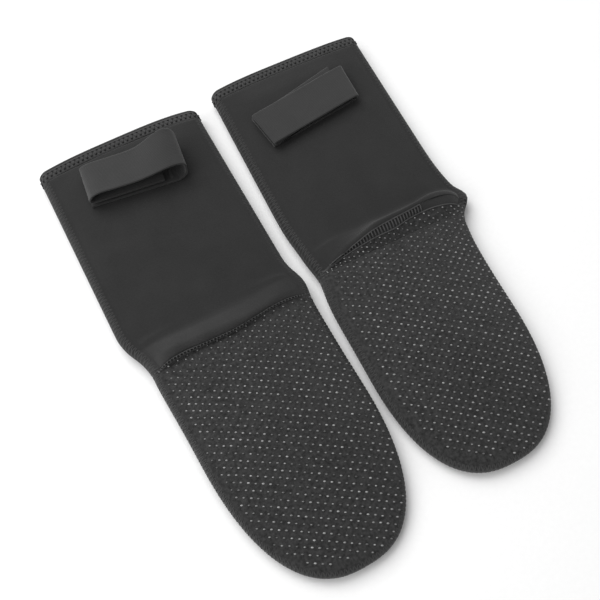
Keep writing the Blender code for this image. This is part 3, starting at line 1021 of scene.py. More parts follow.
RIGHT_FORM = SockForm(
    name="right",
    inner_side=-1,
    length=380.0,
    toe_length=105.0,
    leg_width=134.5,
    foot_width=122.0,
    leg_lean=-0.034,
    foot_shift=-1.5,
    foot_lean=-0.022,
    sway=(5.0, 26.0),
    cuff_bow=(2.2, 1.5),
    heel_fold=(
        (ANKLE - SLANT * LEG_CREST, LEG_CREST),
        (176.6, 21.6),
        (178.8, 25.8),
        (180.2, 28.6),
        (182.2, 29.2),
        (186.0, 27.4),
        (190.5, 24.8),
        (194.2, 22.2),
        (197.6, 19.6),
    ),
    heel_shares=(0.50, 0.51, 0.74),
    heel_line=(
        (-70.0, 9.0, 3.0, 0.25),
        (-50.0, 8.0, 2.0, 0.45),
        (-33.0, 5.0, 1.0, 0.75),
        (-15.0, 1.5, 0.0, 0.95),
        (3.0, 0.0, 0.0, 1.0),
        (20.0, -0.5, -2.5, 1.0),
        (38.0, -2.0, -3.0, 0.95),
        (60.0, -1.5, -1.5, 0.9),
    ),
    fold_highlight_spread=(177.0, 10.0, 60.0, 0.0, 0.8),
    dot_turn=0.0,
    dot_margin=(9.0, 2.5),
    dot_gather=(6.5, 17.0),
    seed=23,
    ankle_bulge=(0.0, 5.6, 184.5, 8.5),
    rib_end=26.0,
)


def half_columns(arc_steps: int, flat_steps: int, start: float = PANEL_TURN) -> tuple[Array, Array]:
    """Turn and reach of the columns from the folded edge to the middle.

    Args:
        arc_steps: Columns round the folded edge.
        flat_steps: Columns from there to the middle.
        start: The turn of the first.

    Returns:
        Turn and reach, one of each for a column.
    """
    turn = np.concatenate([np.linspace(start, 90.0, arc_steps), np.full(flat_steps, 90.0)])
    reach = np.concatenate([np.ones(arc_steps), np.linspace(1.0, 0.0, flat_steps + 1)[1:]])
    return turn, reach


def skin_columns(
    arc_steps: int, flat_steps: int, start: float = PANEL_TURN
) -> tuple[Array, Array, Array]:
    """Side, turn and reach of the columns from one side seam over to the other.

    Args:
        arc_steps: Columns round each folded edge.
        flat_steps: Columns from there to the middle.
        start: The turn of the first and the last.

    Returns:
        Side, turn and reach, one of each for a column.
    """
    turn, reach = half_columns(arc_steps, flat_steps, start)
    side = np.concatenate([-np.ones(len(turn)), np.ones(len(turn) - 1)])
    return side, np.concatenate([turn, turn[-2::-1]]), np.concatenate([reach, reach[-2::-1]])


@dataclass(frozen=True)
class HemSkin:
    """The hem's skin in the sock's frame, for what is sewn on it."""

    grid: Array  # (rows, columns, 3); the rows of the outside come first
    out: Array
    stations: Array  # of the outside's rows
    length: float  # round the cuff
    count: int  # stitches in one row of sewing

    def threads(self, station: Array, shift: Array, radius: float, lift: Array | float) -> Surface:
        """One short thread at each stitch of a row.

        Args:
            station: Stations of the thread's points.
            shift: How far round the cuff each of them is from the stitch's place.
            radius: Half of the thread's width.
            lift: How far each is above the hem.

        Returns:
            The threads as one surface.
        """
        used = len(self.stations)
        grid, out = (np.concatenate([v[:used], v[:used, :1]], axis=1) for v in (self.grid, self.out))
        columns = grid.shape[1] - 1
        spot = (np.arange(self.count) / self.count * columns)[:, None]
        column = (spot + shift * (columns / self.length)) % columns
        first, last = self.stations[0], self.stations[-1]
        row = (first - station) / (first - last) * (used - 1) + 0 * column
        up = unit(sample(out, row, column))
        return strands(sample(grid, row, column) + up * lift, up, radius)


@dataclass
class Sock:
    """One sock: calf, shin, hem, seams, heel fold and foot."""

    form: SockForm
    finishes: Finishes
    place: Place
    ankle_start: float = 172.0  # the skin starts to bend here, at floor level
    ankle_end: float = 198.0

    @property
    def leg(self) -> str:
        """The leg's body."""
        return f"{self.form.name}_leg"

    @property
    def foot(self) -> str:
        """The foot's body."""
        return f"{self.form.name}_foot"

    def title(self, piece: str) -> str:
        """A piece's full name."""
        return f"{self.form.name}_{piece}"

    def bend(self, made: bpy.types.Object) -> None:
        """Bake a piece's placement into its mesh; the ends of the ankle's line, which leans back with height,
        are worked out but not used.
        """
        x = float(self.form.middle(ANKLE))
        reach = self.ankle_end - self.ankle_start
        lean = reach * SLANT
        start = self.place.metres((x, -self.ankle_start, 0.0))
        share = reach**2 / (reach**2 + lean**2)
        end = self.place.metres((x, -self.ankle_start - reach * share, lean * share))
        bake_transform(made)

    def heel_profile(self, x: Array, share: Array) -> tuple[Array, Array]:
        """Station and height over the heel fold.

        The fold's section slides towards the toe or back by amounts that vary across the sock, most at its
        top and at its seam, and its height above the straight line between its ends varies too.

        Args:
            x: Sideways place of each point.
            share: Share of the way over the fold, 0 at the leg and 1 at the sole.

        Returns:
            Station and height of each point.
        """
        section = spline(self.form.heel_fold, 161)
        steps = np.linspace(0.0, 1.0, len(section))
        station = np.interp(share, steps, section[:, 0])
        height = np.interp(share, steps, section[:, 1])
        line = spline(self.form.heel_line, 121)
        top, end, tall = (np.interp(x, line[:, 0], line[:, k]) for k in (1, 2, 3))
        peak = steps[section[:, 1].argmax()]
        low = self.form.heel_shares[2]
        toward_top = ease(0.0, peak, share) * (1 - ease(peak, low, share))
        toward_end = ease(peak, low, share) * (1 - ease(low, 1.0, share))
        chord = section[0, 1] + (section[-1, 1] - section[0, 1]) * share
        return station + top * toward_top + end * toward_end, chord + (height - chord) * tall

    def heel_grid(self, shares: Array, columns: tuple[Array, Array, Array]) -> Array:
        """The heel fold's skin.

        Args:
            shares: Shares of the way over it, one for each row.
            columns: Side, turn and reach, one of each for a column.

        Returns:
            Points as (rows, columns, 3).
        """
        side, turn, reach = columns
        share = shares[:, None] + 0.0 * side[None, :]
        rough_x = side * self.form.leg_width / 2 * reach
        station, top = self.heel_profile(rough_x + 0 * share, share)
        swing = np.radians(turn)
        power = HEEL_POWER + (CROWN_POWER - HEEL_POWER) * ease(self.form.heel_shares[1], 1.0, share)
        height = SIDE_RIM * (1 + np.sin(swing)) + (top - 2 * SIDE_RIM) * (1 - np.abs(reach) ** power)
        placed = station - SLANT * (height - top) * (1 - share)
        half = self.form.half_width(placed)
        away = self.form.profile(turn, reach, self.form.rim(placed), half, None)[0]
        return np.stack([self.form.sideways(side * away, placed), -placed, height], axis=-1)

    def heel_normals(self, bed: Array, columns: tuple[Array, Array, Array]) -> Array:
        """Outward directions on part of the heel fold.

        On top they are the skin's own, turned upwards, and round the folded edges they ease to
        (side * cos(turn), 0, sin(turn)), which doesn't depend on how closely the rows lie there.

        Args:
            bed: Points of heel_grid().
            columns: Side, turn and reach of its columns.

        Returns:
            A unit vector for each point.
        """
        side, turn, _ = columns
        normals = grid_normals(bed)
        normals *= np.where(normals[..., 2:] < 0, -1.0, 1.0)
        swing = np.radians(turn)
        edge = np.stack([side * np.cos(swing), 0.0 * swing, np.sin(swing)], axis=-1)
        share = (1 - ease(EDGE_TURN, 90.0, turn))[:, None]
        return unit(normals * (1 - share) + edge * share)

    def calf_skin(self) -> None:
        """The calf panel and the heel fold in one skin."""
        columns = skin_columns(12, 52)
        along = np.linspace(self.form.hem.end + 0.3, ANKLE - 0.8, 120)
        leg = self.form.leg_grid(along, *columns, top=True)
        heel = self.heel_grid(np.linspace(0.03, self.form.heel_shares[0], 40), columns)
        grid = np.concatenate([leg, heel])
        low, high = len(along) - FOLD_SMOOTH, len(along) + FOLD_SMOOTH
        for _ in range(3):
            beside = grid[low - 1 : high - 1] + grid[low + 1 : high + 1]
            grid[low:high] = (beside + 2 * grid[low:high]) / 4
        inside = 1 - columns[2][None, :] ** 6
        lift = 0.35 * inside * ripple(grid, 62.0, self.form.seed)
        lift += 0.12 * inside * ripple(grid, 19.0, self.form.seed + 1)
        near_heel = ease(-130.0, -175.0, grid[..., 1])
        creases = ripple(grid * np.array([1.0, 0.4, 1.0]), 24.0, self.form.seed + 2)
        lift += 0.5 * near_heel * inside * creases
        lift -= 0.6 * (1 - ease(12.5, 16.5, -grid[..., 1]))
        normals = grid_normals(grid)
        grid = grid + normals * np.where(normals[..., 2:] < 0, -1, 1) * lift[..., None]
        surface = Surface.from_grid(self.place.out(grid))
        # Painted highlight: the shade attribute makes the skin paler over the heel fold, where it faces the
        # light.
        surface.shade = self.fold_highlight(grid).ravel()
        made = make_piece(
            self.title("calf_skin"), surface, self.finishes.neoprene, UPWARDS, wall=WALL
        )
        self.bend(made)
        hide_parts(self.title("calf_panel"), self.title("heel_fold"))

    def fold_highlight(self, grid: Array) -> Array:
        """How much the skin over the heel fold is painted paler as a highlight, from 0 to 1, at the points of
        a grid.

        It rises where the station passes the fold's foot, is weaker towards one side, and wavers finely.
        """
        x, along = grid[..., 0], -grid[..., 1]
        begin, side_from, side_to, least, most = self.form.fold_highlight_spread
        line = spline(self.form.heel_line, 121)
        foot = begin + np.interp(x, line[:, 0], line[:, 1])
        rise = ease(0.0, 3.5, along - foot)
        strength = least + (most - least) * ease(side_from, side_to, x)
        return np.clip(rise * strength * (0.9 + 0.1 * ripple(grid, 17.0, self.form.seed + 3)), 0.0, 1.0)

    def shin_skin(self) -> None:
        """The shin panel and the instep in one skin, underneath."""
        columns = skin_columns(10, 30)
        along = np.linspace(self.form.hem.end + 0.3, ANKLE - 0.8, 90)
        leg = self.form.leg_grid(along, *columns, top=False)
        made = make_piece(
            self.title("shin_skin"),
            Surface.from_grid(self.place.out(leg)),
            self.finishes.neoprene,
            -UPWARDS,
            wall=WALL,
        )
        self.bend(made)
        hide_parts(self.title("shin_panel"))
        outline = self.form.outline(ANKLE + 0.2, 60, 90)
        turn, reach = half_columns(10, 26)
        grid = self.form.foot_grid(outline, turn, reach, "instep")
        made = make_piece(
            self.title("instep_skin"),
            Surface.from_grid(self.place.out(grid)),
            self.finishes.neoprene,
            -UPWARDS,
            wall=WALL,
            merge=0.01,
        )
        self.bend(made)
        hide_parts(self.title("instep_panel"))

    def sole_skin(self) -> None:
        """The grip sole."""
        outline = self.form.outline(CREASE, 80, 120)
        turn, reach = half_columns(10, 40)
        grid = self.form.foot_grid(outline, turn, reach, "sole")
        made = make_piece(
            self.title("sole_skin"),
            Surface.from_grid(self.place.out(grid)),
            self.finishes.sole,
            UPWARDS,
            wall=WALL,
            merge=0.01,
        )
        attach(made, self.foot)
        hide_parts(self.title("sole_panel"))

    def around(self, along: Array, arc_steps: int, flat_steps: int) -> Array:
        """The whole leg's skin, round from the left seam over the calf and back under the shin.

        Args:
            along: Stations, one for each row.
            arc_steps: Columns round each folded edge.
            flat_steps: Columns from there to the middle.

        Returns:
            Points as (rows, columns, 3).
        """
        columns = skin_columns(arc_steps, flat_steps, start=0.0)
        over = self.form.leg_grid(along, *columns, top=True)
        under = self.form.leg_grid(along, *columns, top=False)
        return np.concatenate([over, under[:, -2:0:-1]], axis=1)

    def hem_skin(self) -> HemSkin:
        """The hem's outside and the way out of it: relief is added to the leg's skin at stations of the hem.

        A row is a place on the hem's section: along the outside with its lip, grooves and puckers, round the
        rolled edge and back along the inside. The relief is a sum of bell curves, one for each lip or groove,
        and the sewn rows' grooves are deeper at each stitch.

        Returns:
            The hem's skin.
        """
        hem = self.form.hem
        outside = np.linspace(hem.end, hem.start + hem.roll, 44)
        swing = np.linspace(0.0, math.pi, 11)[1:-1]
        inside = np.linspace(hem.start + hem.roll, hem.end, 8)
        along = np.concatenate([outside, hem.start + hem.roll * (1 - np.sin(swing)), inside])
        proud = np.concatenate([0 * outside, hem.roll * (np.cos(swing) - 1), 0 * inside - 2 * hem.roll])
        arc_steps, flat_steps, steps = 24, 122, 12
        skin = self.around(along, arc_steps, flat_steps)
        span = self.around(np.linspace(hem.start, hem.end, steps), arc_steps, flat_steps)
        span = np.concatenate([span[:, -3:], span, span[:, :3]], axis=1)
        normals = grid_normals(span)[:, 3:-3]
        normals *= np.sign(normals[:, arc_steps + flat_steps, 2].sum())
        rows = np.clip((along - hem.start) / (hem.end - hem.start) * (steps - 1), 0, steps - 1)
        columns = np.arange(skin.shape[1], dtype=float)
        out = sample(normals, rows[:, None] + 0 * columns, 0 * rows[:, None] + columns)
        ring = np.concatenate([skin[20, -1:], skin[20]])
        run = np.cumsum(np.linalg.norm(np.diff(ring, axis=0), axis=1))
        length = float(run[-1])
        count = int(round(length / hem.pitch))
        pucker = np.cos(2 * np.pi * run / (length / count))
        front = (np.arange(len(along)) < len(outside))[:, None]
        a = along[:, None]
        relief = (
            0.45 * bell(hem.start + hem.roll * 0.8, 1.1, a)
            - 0.35 * bell(hem.lip, 0.5, a)
            + 0.4 * ease(hem.lip, hem.lip + 1.2, a)
            - 0.5 * bell(hem.rows[0], 0.6, a) * (0.6 + 0.4 * pucker)
            - 0.5 * bell(hem.rows[1], 0.6, a) * (0.6 - 0.4 * pucker)
            - 0.7 * bell(hem.end, 0.8, a)
        )
        grid = skin + out * (proud[:, None] + np.where(front, relief, 0.0))[..., None]
        return HemSkin(grid, out, outside, length, count)

    def cuff_hem(self, skin: HemSkin) -> None:
        """The turned hem: two layers with a rolled edge, two sewn rows and a pucker at each stitch."""
        made = make_piece(
            self.title("cuff_binding"),
            Surface.from_grid(self.place.out(skin.grid), close_rows=True, close_columns=True),
            self.finishes.binding,
        )
        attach(made, self.leg)
        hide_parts(self.title("cuff_hem"))

    def cuff_stitching(self, skin: HemSkin) -> None:
        """The hem's cover stitch: two rows of short stitches, near black to paint the shade in their holes,
        and paler thread that zigzags between.

        Args:
            skin: The hem's skin.
        """
        hem = self.form.hem
        bar = np.linspace(-1.0, 1.0, 5)[None, :]
        lift = 0.2 + 0.25 * (1 - bar[..., None] ** 2)
        rows = [
            skin.threads(hem.rows[0] + 0.5 * bar, 0.75 * bar, 0.72, lift),
            skin.threads(hem.rows[1] - 0.3 * bar, 0.85 * bar + hem.pitch / 2, 0.75, lift),
        ]
        gap = (hem.rows[1] - hem.rows[0]) / 2
        middle_at = (hem.rows[1] + hem.rows[0]) / 2
        zigzag = [
            skin.threads(middle_at + way * gap * 0.8 * bar, (bar + 1) * hem.pitch / 4 + start, 0.32, 0.2)
            for way, start in ((1, 0.0), (-1, hem.pitch / 2))
        ]
        for piece, parts, finish in (
            ("cuff_stitches_painted_shade", rows, self.finishes.stitch),
            ("cuff_cover_thread", zigzag, self.finishes.seam),
        ):
            made = make_piece(self.title(piece), self.placed(Surface.join(parts)), finish)
            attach(made, self.leg)

    def placed(self, shape: Surface) -> Surface:
        """A surface moved from the sock's frame to the row frame."""
        shape.points = self.place.out(shape.points)
        return shape

    def seam_threads(self, bed: Array, turns: Array, reach: tuple[float, float]) -> Surface:
        """Slanted stitches over a seam.

        Args:
            bed: Points of the skin beside the seam; rows run along the seam and columns across it.
            turns: Angle round the folded edge of each column.
            reach: Angles where the stitches begin, under the edge, and end, on top.

        Returns:
            The stitches as one surface.
        """
        normals = grid_normals(bed)
        middle = bed.shape[1] // 2
        run = np.concatenate([[0.0], np.cumsum(np.linalg.norm(np.diff(bed[:, middle], axis=0), axis=1))])
        away = (bed[:, middle] - bed.mean((0, 1)))[:, None]
        if (normals[:, middle] * away[:, 0])[:, :2].sum() < 0:
            normals = -normals
        count = int(run[-1] / SEAM_PITCH)
        spot = (np.arange(count) + 0.5)[:, None] * SEAM_PITCH
        bar = np.linspace(0.0, 1.0, 7)[None, :]
        slants = []
        for way in (1, -1):
            row = np.interp(spot + way * (bar - 0.5) * SEAM_PITCH * 0.8, run, np.arange(len(run)))
            turn = reach[0] + (reach[1] - reach[0]) * bar + 0 * row
            column = np.interp(turn, turns, np.arange(len(turns), dtype=float))
            up = unit(sample(normals, row, column))
            paths = sample(bed, row, column) + up * 0.12
            slants.append(strands(paths, up, 0.4, 0.8))
        return Surface.join(slants)

    def side_strip(self, side: int, turn: Array) -> Array:
        """The skin along a side seam, from the hem past the ankle.

        Args:
            side: -1 left or +1 right.
            turn: Angle round the folded edge, one for each column.

        Returns:
            Points as (rows, columns, 3).
        """
        along = np.linspace(self.form.hem.end + 0.3, ANKLE - 0.8, 110)
        down = np.linspace(ANKLE + 0.8, FOOT_SEAM_START, 9)
        half = side * self.form.half_width(down)
        ones = np.ones(len(turn))
        leg = self.form.leg_grid(along, side * ones, turn, ones, top=True)
        foot = self.form.foot_grid((half, 0 * half, down), turn, ones, "edge")
        return np.concatenate([leg, foot])

    def side_seam(self, which: str, side: int) -> None:
        """A leg's side seam with its flatlock stitches; it goes on past the ankle.

        Args:
            which: "inner" or "outer".
            side: -1 left or +1 right.
        """
        tape = self.side_strip(side, np.linspace(-SEAM_TURN, SEAM_TURN, 9))
        normals = grid_normals(tape)
        normals *= np.sign((normals[..., 0] * side).sum())
        over = np.linspace(*SEAM_BED, 24)
        threads = self.seam_threads(self.side_strip(side, over), over, SEAM_STITCHES)
        shape = self.placed(Surface.join([slab(tape, normals, SEAM_TAPE), threads]))
        made = make_piece(self.title(f"{which}_side_seam_sewn"), shape, self.finishes.seam)
        self.bend(made)
        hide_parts(self.title(f"{which}_side_seam"))

    def foot_seam(self) -> None:
        """The seam round the foot, with its flatlock stitches."""
        outline = self.form.outline(FOOT_SEAM_START, 90, 150)
        turns = np.linspace(-SEAM_TURN, SEAM_TURN, 9)
        tape = self.form.foot_grid(outline, turns, np.ones(9), "edge")
        normals = grid_normals(tape)
        centre = np.array([0.0, -self.form.toe_centre, 0.0])
        normals *= np.sign((normals * (tape - centre))[..., :2].sum())
        over = np.linspace(*SEAM_BED, 24)
        bed = self.form.foot_grid(outline, over, np.ones(24), "edge")
        threads = self.seam_threads(bed, over, FOOT_STITCHES)
        shape = self.placed(Surface.join([slab(tape, normals, SEAM_TAPE), threads]))
        made = make_piece(self.title("foot_seam_sewn"), shape, self.finishes.seam)
        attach(made, self.foot)
        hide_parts(self.title("foot_seam"))

    def heel_seam(self) -> None:
        """The seam under the heel fold: a tape, ribs of thread across it and a thread along each edge."""
        columns = skin_columns(10, 60)
        shares = np.linspace(*self.form.heel_shares[1:], 14)
        bed = self.heel_grid(shares, columns)
        normals = self.heel_normals(bed, columns)
        sunk = 0.25 + SEAM_SINK * (1 - ease(PANEL_TURN, 90.0, columns[1]))[None, :, None]
        tape = slab(bed - normals * sunk, normals, SEAM_TAPE)
        # The tape gets the same painted highlight as the heel fold.
        tape.shade = self.fold_highlight(tape.points)
        cloth = self.finishes.neoprene
        made = make_piece(self.title("heel_seam_tape"), self.placed(tape), cloth)
        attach(made, self.foot)
        parts = []
        width = bed.shape[1]
        run = np.concatenate([[0.0], np.cumsum(np.linalg.norm(np.diff(bed[5], axis=0), axis=1))])
        count = int(run[-1] / self.form.rib_pitch)
        spot = np.interp(((np.arange(count) + 0.5) * self.form.rib_pitch), run, np.arange(width))[:, None]
        spot = spot[sample(bed, 5.0 + 0 * spot, spot)[:, 0, 0] < self.form.rib_end]
        bar = np.linspace(0.0, 1.0, 7)[None, :]
        slant = np.interp(1.0, [0, run[-1]], [0, width - 1]) * 0.5
        row, column = 0.6 + 10.8 * bar + 0 * spot, spot + (bar - 0.5) * slant
        up = unit(sample(normals, row, column))
        arch = 0.35 * np.sin(np.pi * bar)[..., None] ** 0.5
        parts.append(strands(sample(bed, row, column) + up * arch, up, self.form.rib_radius, 0.9))
        last = float(np.interp(self.form.rib_end, bed[5, :, 0], np.arange(width)))
        for at, stop in ((0.2, min(last, width - 7.0)), (12.4, width - 7.0)):
            column = np.linspace(6.0, stop, 260)[None, :]
            up = unit(sample(normals, at + 0 * column, column))
            thread = sample(bed, at + 0 * column, column) + up * 0.15
            parts.append(strands(thread, up, self.form.cord_radius, 0.9))
        shape = self.placed(Surface.join(parts))
        made = make_piece(self.title("heel_seam_sewn"), shape, self.finishes.rib)
        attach(made, self.foot)
        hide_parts(self.title("heel_seam"))

    def sole_lap(self) -> None:
        """The sole's cloth from the heel seam down to the crease, under the fold."""
        columns = skin_columns(10, 60)
        bed = self.heel_grid(np.linspace(self.form.heel_shares[2] - 0.01, 1.0, 16), columns)
        tucked = bed[-1:] + np.array([[0.0, -1.0, -0.9], [0.0, -2.5, -2.6]])[:, None]
        bed = np.concatenate([bed, tucked])
        made = make_piece(
            self.title("sole_lap"),
            Surface.from_grid(self.place.out(bed)),
            self.finishes.sole,
            UPWARDS,
            wall=1.2,
        )
        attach(made, self.foot)

    def domes(self, base: Array, up: Array, draw: np.random.Generator) -> Surface:
        """Raised oval dots: low eight-sided domes that stand along the cloth's normal.

        Ring k's points are base + size * r_k * (cos(a) * side + narrow * sin(a) * front) + up * h_k.

        Args:
            base: The dots' places on the cloth.
            up: The cloth's normal at each of them.
            draw: Where their sizes and strengths of print come from.

        Returns:
            One surface with every dot.
        """
        lay = math.radians(DOT_LAY)
        side = unit(np.cross(np.array([math.sin(lay), math.cos(lay), 0.0]), up))
        front = np.cross(up, side) * DOT_NARROW
        angles = (np.arange(8) + 0.5) * math.pi / 4
        near = HEEL_DOTS + (1 - HEEL_DOTS) * ease(CREASE, CREASE + 45.0, -base[:, 1])
        size = DOT_RADIUS * near * draw.uniform(0.8, 1.12, len(base))
        spoke = np.cos(angles)[:, None] * side[:, None] + np.sin(angles)[:, None] * front[:, None]
        layers = [
            base[:, None] + size[:, None, None] * ring * spoke + up[:, None] * height
            for ring, height in DOT_RINGS
        ]
        points = np.stack(layers, axis=1).reshape(-1, 3)
        lids = np.array([[0, 1, 2, 3], [0, 3, 4, 7], [4, 5, 6, 7]])
        top = (len(DOT_RINGS) - 1) * 8
        one = np.vstack([quads(len(DOT_RINGS), 8, close_columns=True), lids + top, lids[:, ::-1]])
        faces = (one[None] + (np.arange(len(base)) * len(DOT_RINGS) * 8)[:, None, None]).reshape(-1, 4)
        shade = np.repeat(np.clip(draw.normal(0.5, 0.3, len(base)), 0.0, 1.0), len(DOT_RINGS) * 8)
        return Surface(points, faces, points[:, :2], shade)

    def sole_dots(self, draw: np.random.Generator) -> Surface:
        """The dots on the sole: rows DOT_ROW apart, dots DOT_PITCH apart, every other row half of it over.

        Args:
            draw: Where their small shifts and their sizes come from.

        Returns:
            The dots as one surface.
        """
        form = self.form
        reach = int(220 / DOT_ROW)
        i, j = np.meshgrid(np.arange(-30, 31), np.arange(-reach, reach + 1), indexing="ij")
        u = ((i + 0.5 * (j % 2)) * DOT_PITCH).ravel()
        v = (j * DOT_ROW).ravel()
        turn = math.radians(form.dot_turn)
        jitter = draw.normal(0.0, 0.09, (2, len(u)))
        x = form.middle(DOT_ORIGIN) + u * math.cos(turn) - v * math.sin(turn) + jitter[0]
        along = DOT_ORIGIN + u * math.sin(turn) + v * math.cos(turn) + jitter[1]
        inside = form.sole_height(x, along)[1]
        margin = np.where(x < form.middle(along), form.dot_margin[0], form.dot_margin[1])
        gather, fade = form.dot_gather
        along = along + gather * np.exp(-np.maximum(along - CREASE + gather, 0.0) / fade)
        on = (inside > margin) & (along > form.heel_fold[-1][0] + 1.0) & (along < form.length - 3.0)
        x, along = x[on], along[on]
        step = 0.3
        slope_x = (form.sole_height(x + step, along)[0] - form.sole_height(x - step, along)[0]) / (2 * step)
        slope_y = -(form.sole_height(x, along + step)[0] - form.sole_height(x, along - step)[0]) / (2 * step)
        up = unit(np.stack([-slope_x, -slope_y, np.ones(len(x))], axis=-1))
        flat = form.sideways(x - form.middle(along), along)
        return self.domes(np.stack([flat, -along, form.sole_height(x, along)[0]], axis=-1), up, draw)

    def lap_dots(self, draw: np.random.Generator) -> Surface:
        """The dots on the slope between the heel seam and the crease, in closer rows."""
        columns = skin_columns(10, 60)
        shares = np.linspace(self.form.heel_shares[2] + 0.02, 1.0, 16)
        bed = self.heel_grid(shares, columns)
        normals = self.heel_normals(bed, columns)
        middle = bed.shape[1] // 2
        across = np.cumsum(np.linalg.norm(np.diff(bed[8], axis=0, prepend=bed[8, :1]), axis=1))
        down = np.cumsum(np.linalg.norm(np.diff(bed[:, middle], axis=0, prepend=bed[:1, middle]), axis=1))
        rows = np.arange(0.6, down[-1] - 0.4, DOT_ROW * LAP_ROW)
        left, right = self.form.dot_margin
        spots = np.arange(left, across[-1] - right, DOT_PITCH / 2)
        i, j = np.meshgrid(np.arange(len(rows)), np.arange(len(spots)), indexing="ij")
        on = (i + j) % 2 == 0
        row = np.interp(rows[i[on]], down, np.arange(len(down), dtype=float))
        column = np.interp(spots[j[on]], across, np.arange(len(across), dtype=float))
        return self.domes(sample(bed, row, column), unit(sample(normals, row, column)), draw)

    def grip_dots(self) -> None:
        """The raised dots of the whole sole."""
        draw = np.random.default_rng(self.form.seed)
        dots = self.placed(Surface.join([self.sole_dots(draw), self.lap_dots(draw)]))
        made = make_piece(self.title("grip_dots"), dots, self.finishes.dots)
        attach(made, self.foot)

    def build(self) -> None:
        """Build the sock's pieces."""
        self.calf_skin()
        self.shin_skin()
        self.sole_skin()
        hem = self.hem_skin()
        self.cuff_hem(hem)
        self.cuff_stitching(hem)
        self.side_seam("inner", self.form.inner_side)
        self.side_seam("outer", -self.form.inner_side)
        self.heel_seam()
        self.sole_lap()
        self.foot_seam()
        self.grip_dots()


# ---------------------------------------------------------------- straps


@dataclass(frozen=True)
class StrapForm:
    """Sizes of one strap; reach runs along the band from its free end, heights are above its underside."""

    name: str
    length: float
    bend_radius: float
    fold: tuple[tuple[float, float, float, float], ...]  # (reach, height, slip to the cuff, cuff edge's rise)
    tail: tuple[tuple[float, float, float], ...]
    split: float  # the tail is its own piece below this height, at the turned end
    blend_from: float
    blend_to: float
    drop: float  # how fast the line between band and fold drops towards the free end
    patch_turn: float
    patch_shift: float
    patch_gap: float  # from the hook tape's end to the bend
    band_slip: float
    skew: float  # how much further the turned end reaches at its cuff-side corner


LEFT_STRAP = StrapForm(
    name="left",
    length=80.0,
    bend_radius=9.0,
    fold=(
        (79.0, 14.8, 0.8, 0.5),
        (75.4, 18.9, 1.4, 1.6),
        (69.0, 20.0, 1.4, 2.0),
        (60.0, 18.2, 0.4, 0.4),
        (50.0, 15.0, -0.4, -1.6),
        (40.0, 13.2, -0.6, -2.2),
        (24.0, 13.0, -0.8, -2.4),
        (12.0, 13.0, -0.8, -2.6),
        (5.6, 11.4, -0.8, -2.2),
        (2.6, 8.6, -0.8, -1.0),
        (2.7, 6.4, -0.8, -0.3),
        (5.4, 5.2, -0.8, 0.0),
    ),
    tail=((12.0, 5.15, -1.0), (25.0, 5.15, -0.8), (61.0, 5.3, -0.4)),
    split=6.4,
    blend_from=7.7,
    blend_to=12.2,
    drop=0.077,
    patch_turn=0.0,
    patch_shift=0.0,
    patch_gap=9.0,
    band_slip=-1.2,
    skew=0.0,
)
RIGHT_STRAP = StrapForm(
    name="right",
    length=87.0,
    bend_radius=3.4,
    fold=(
        (86.0, 6.4, 0.0, 0.0),
        (83.0, 7.6, 0.0, 0.0),
        (70.0, 8.1, 0.0, 0.0),
        (45.0, 7.7, 0.0, 0.0),
        (20.0, 7.6, 0.0, 0.0),
        (6.0, 7.55, 0.0, 0.0),
        (2.9, 7.3, 0.0, 0.0),
        (1.9, 6.35, 0.0, 0.0),
        (2.9, 5.4, 0.0, 0.0),
        (6.0, 5.15, 0.0, 0.0),
    ),
    tail=((14.0, 5.15, 0.8), (40.0, 5.15, 2.6), (78.0, 5.15, 6.4)),
    split=6.0,
    blend_from=2.3,
    blend_to=6.0,
    drop=0.009,
    patch_turn=6.0,
    patch_shift=1.6,
    patch_gap=12.0,
    band_slip=1.6,
    skew=3.2,
)


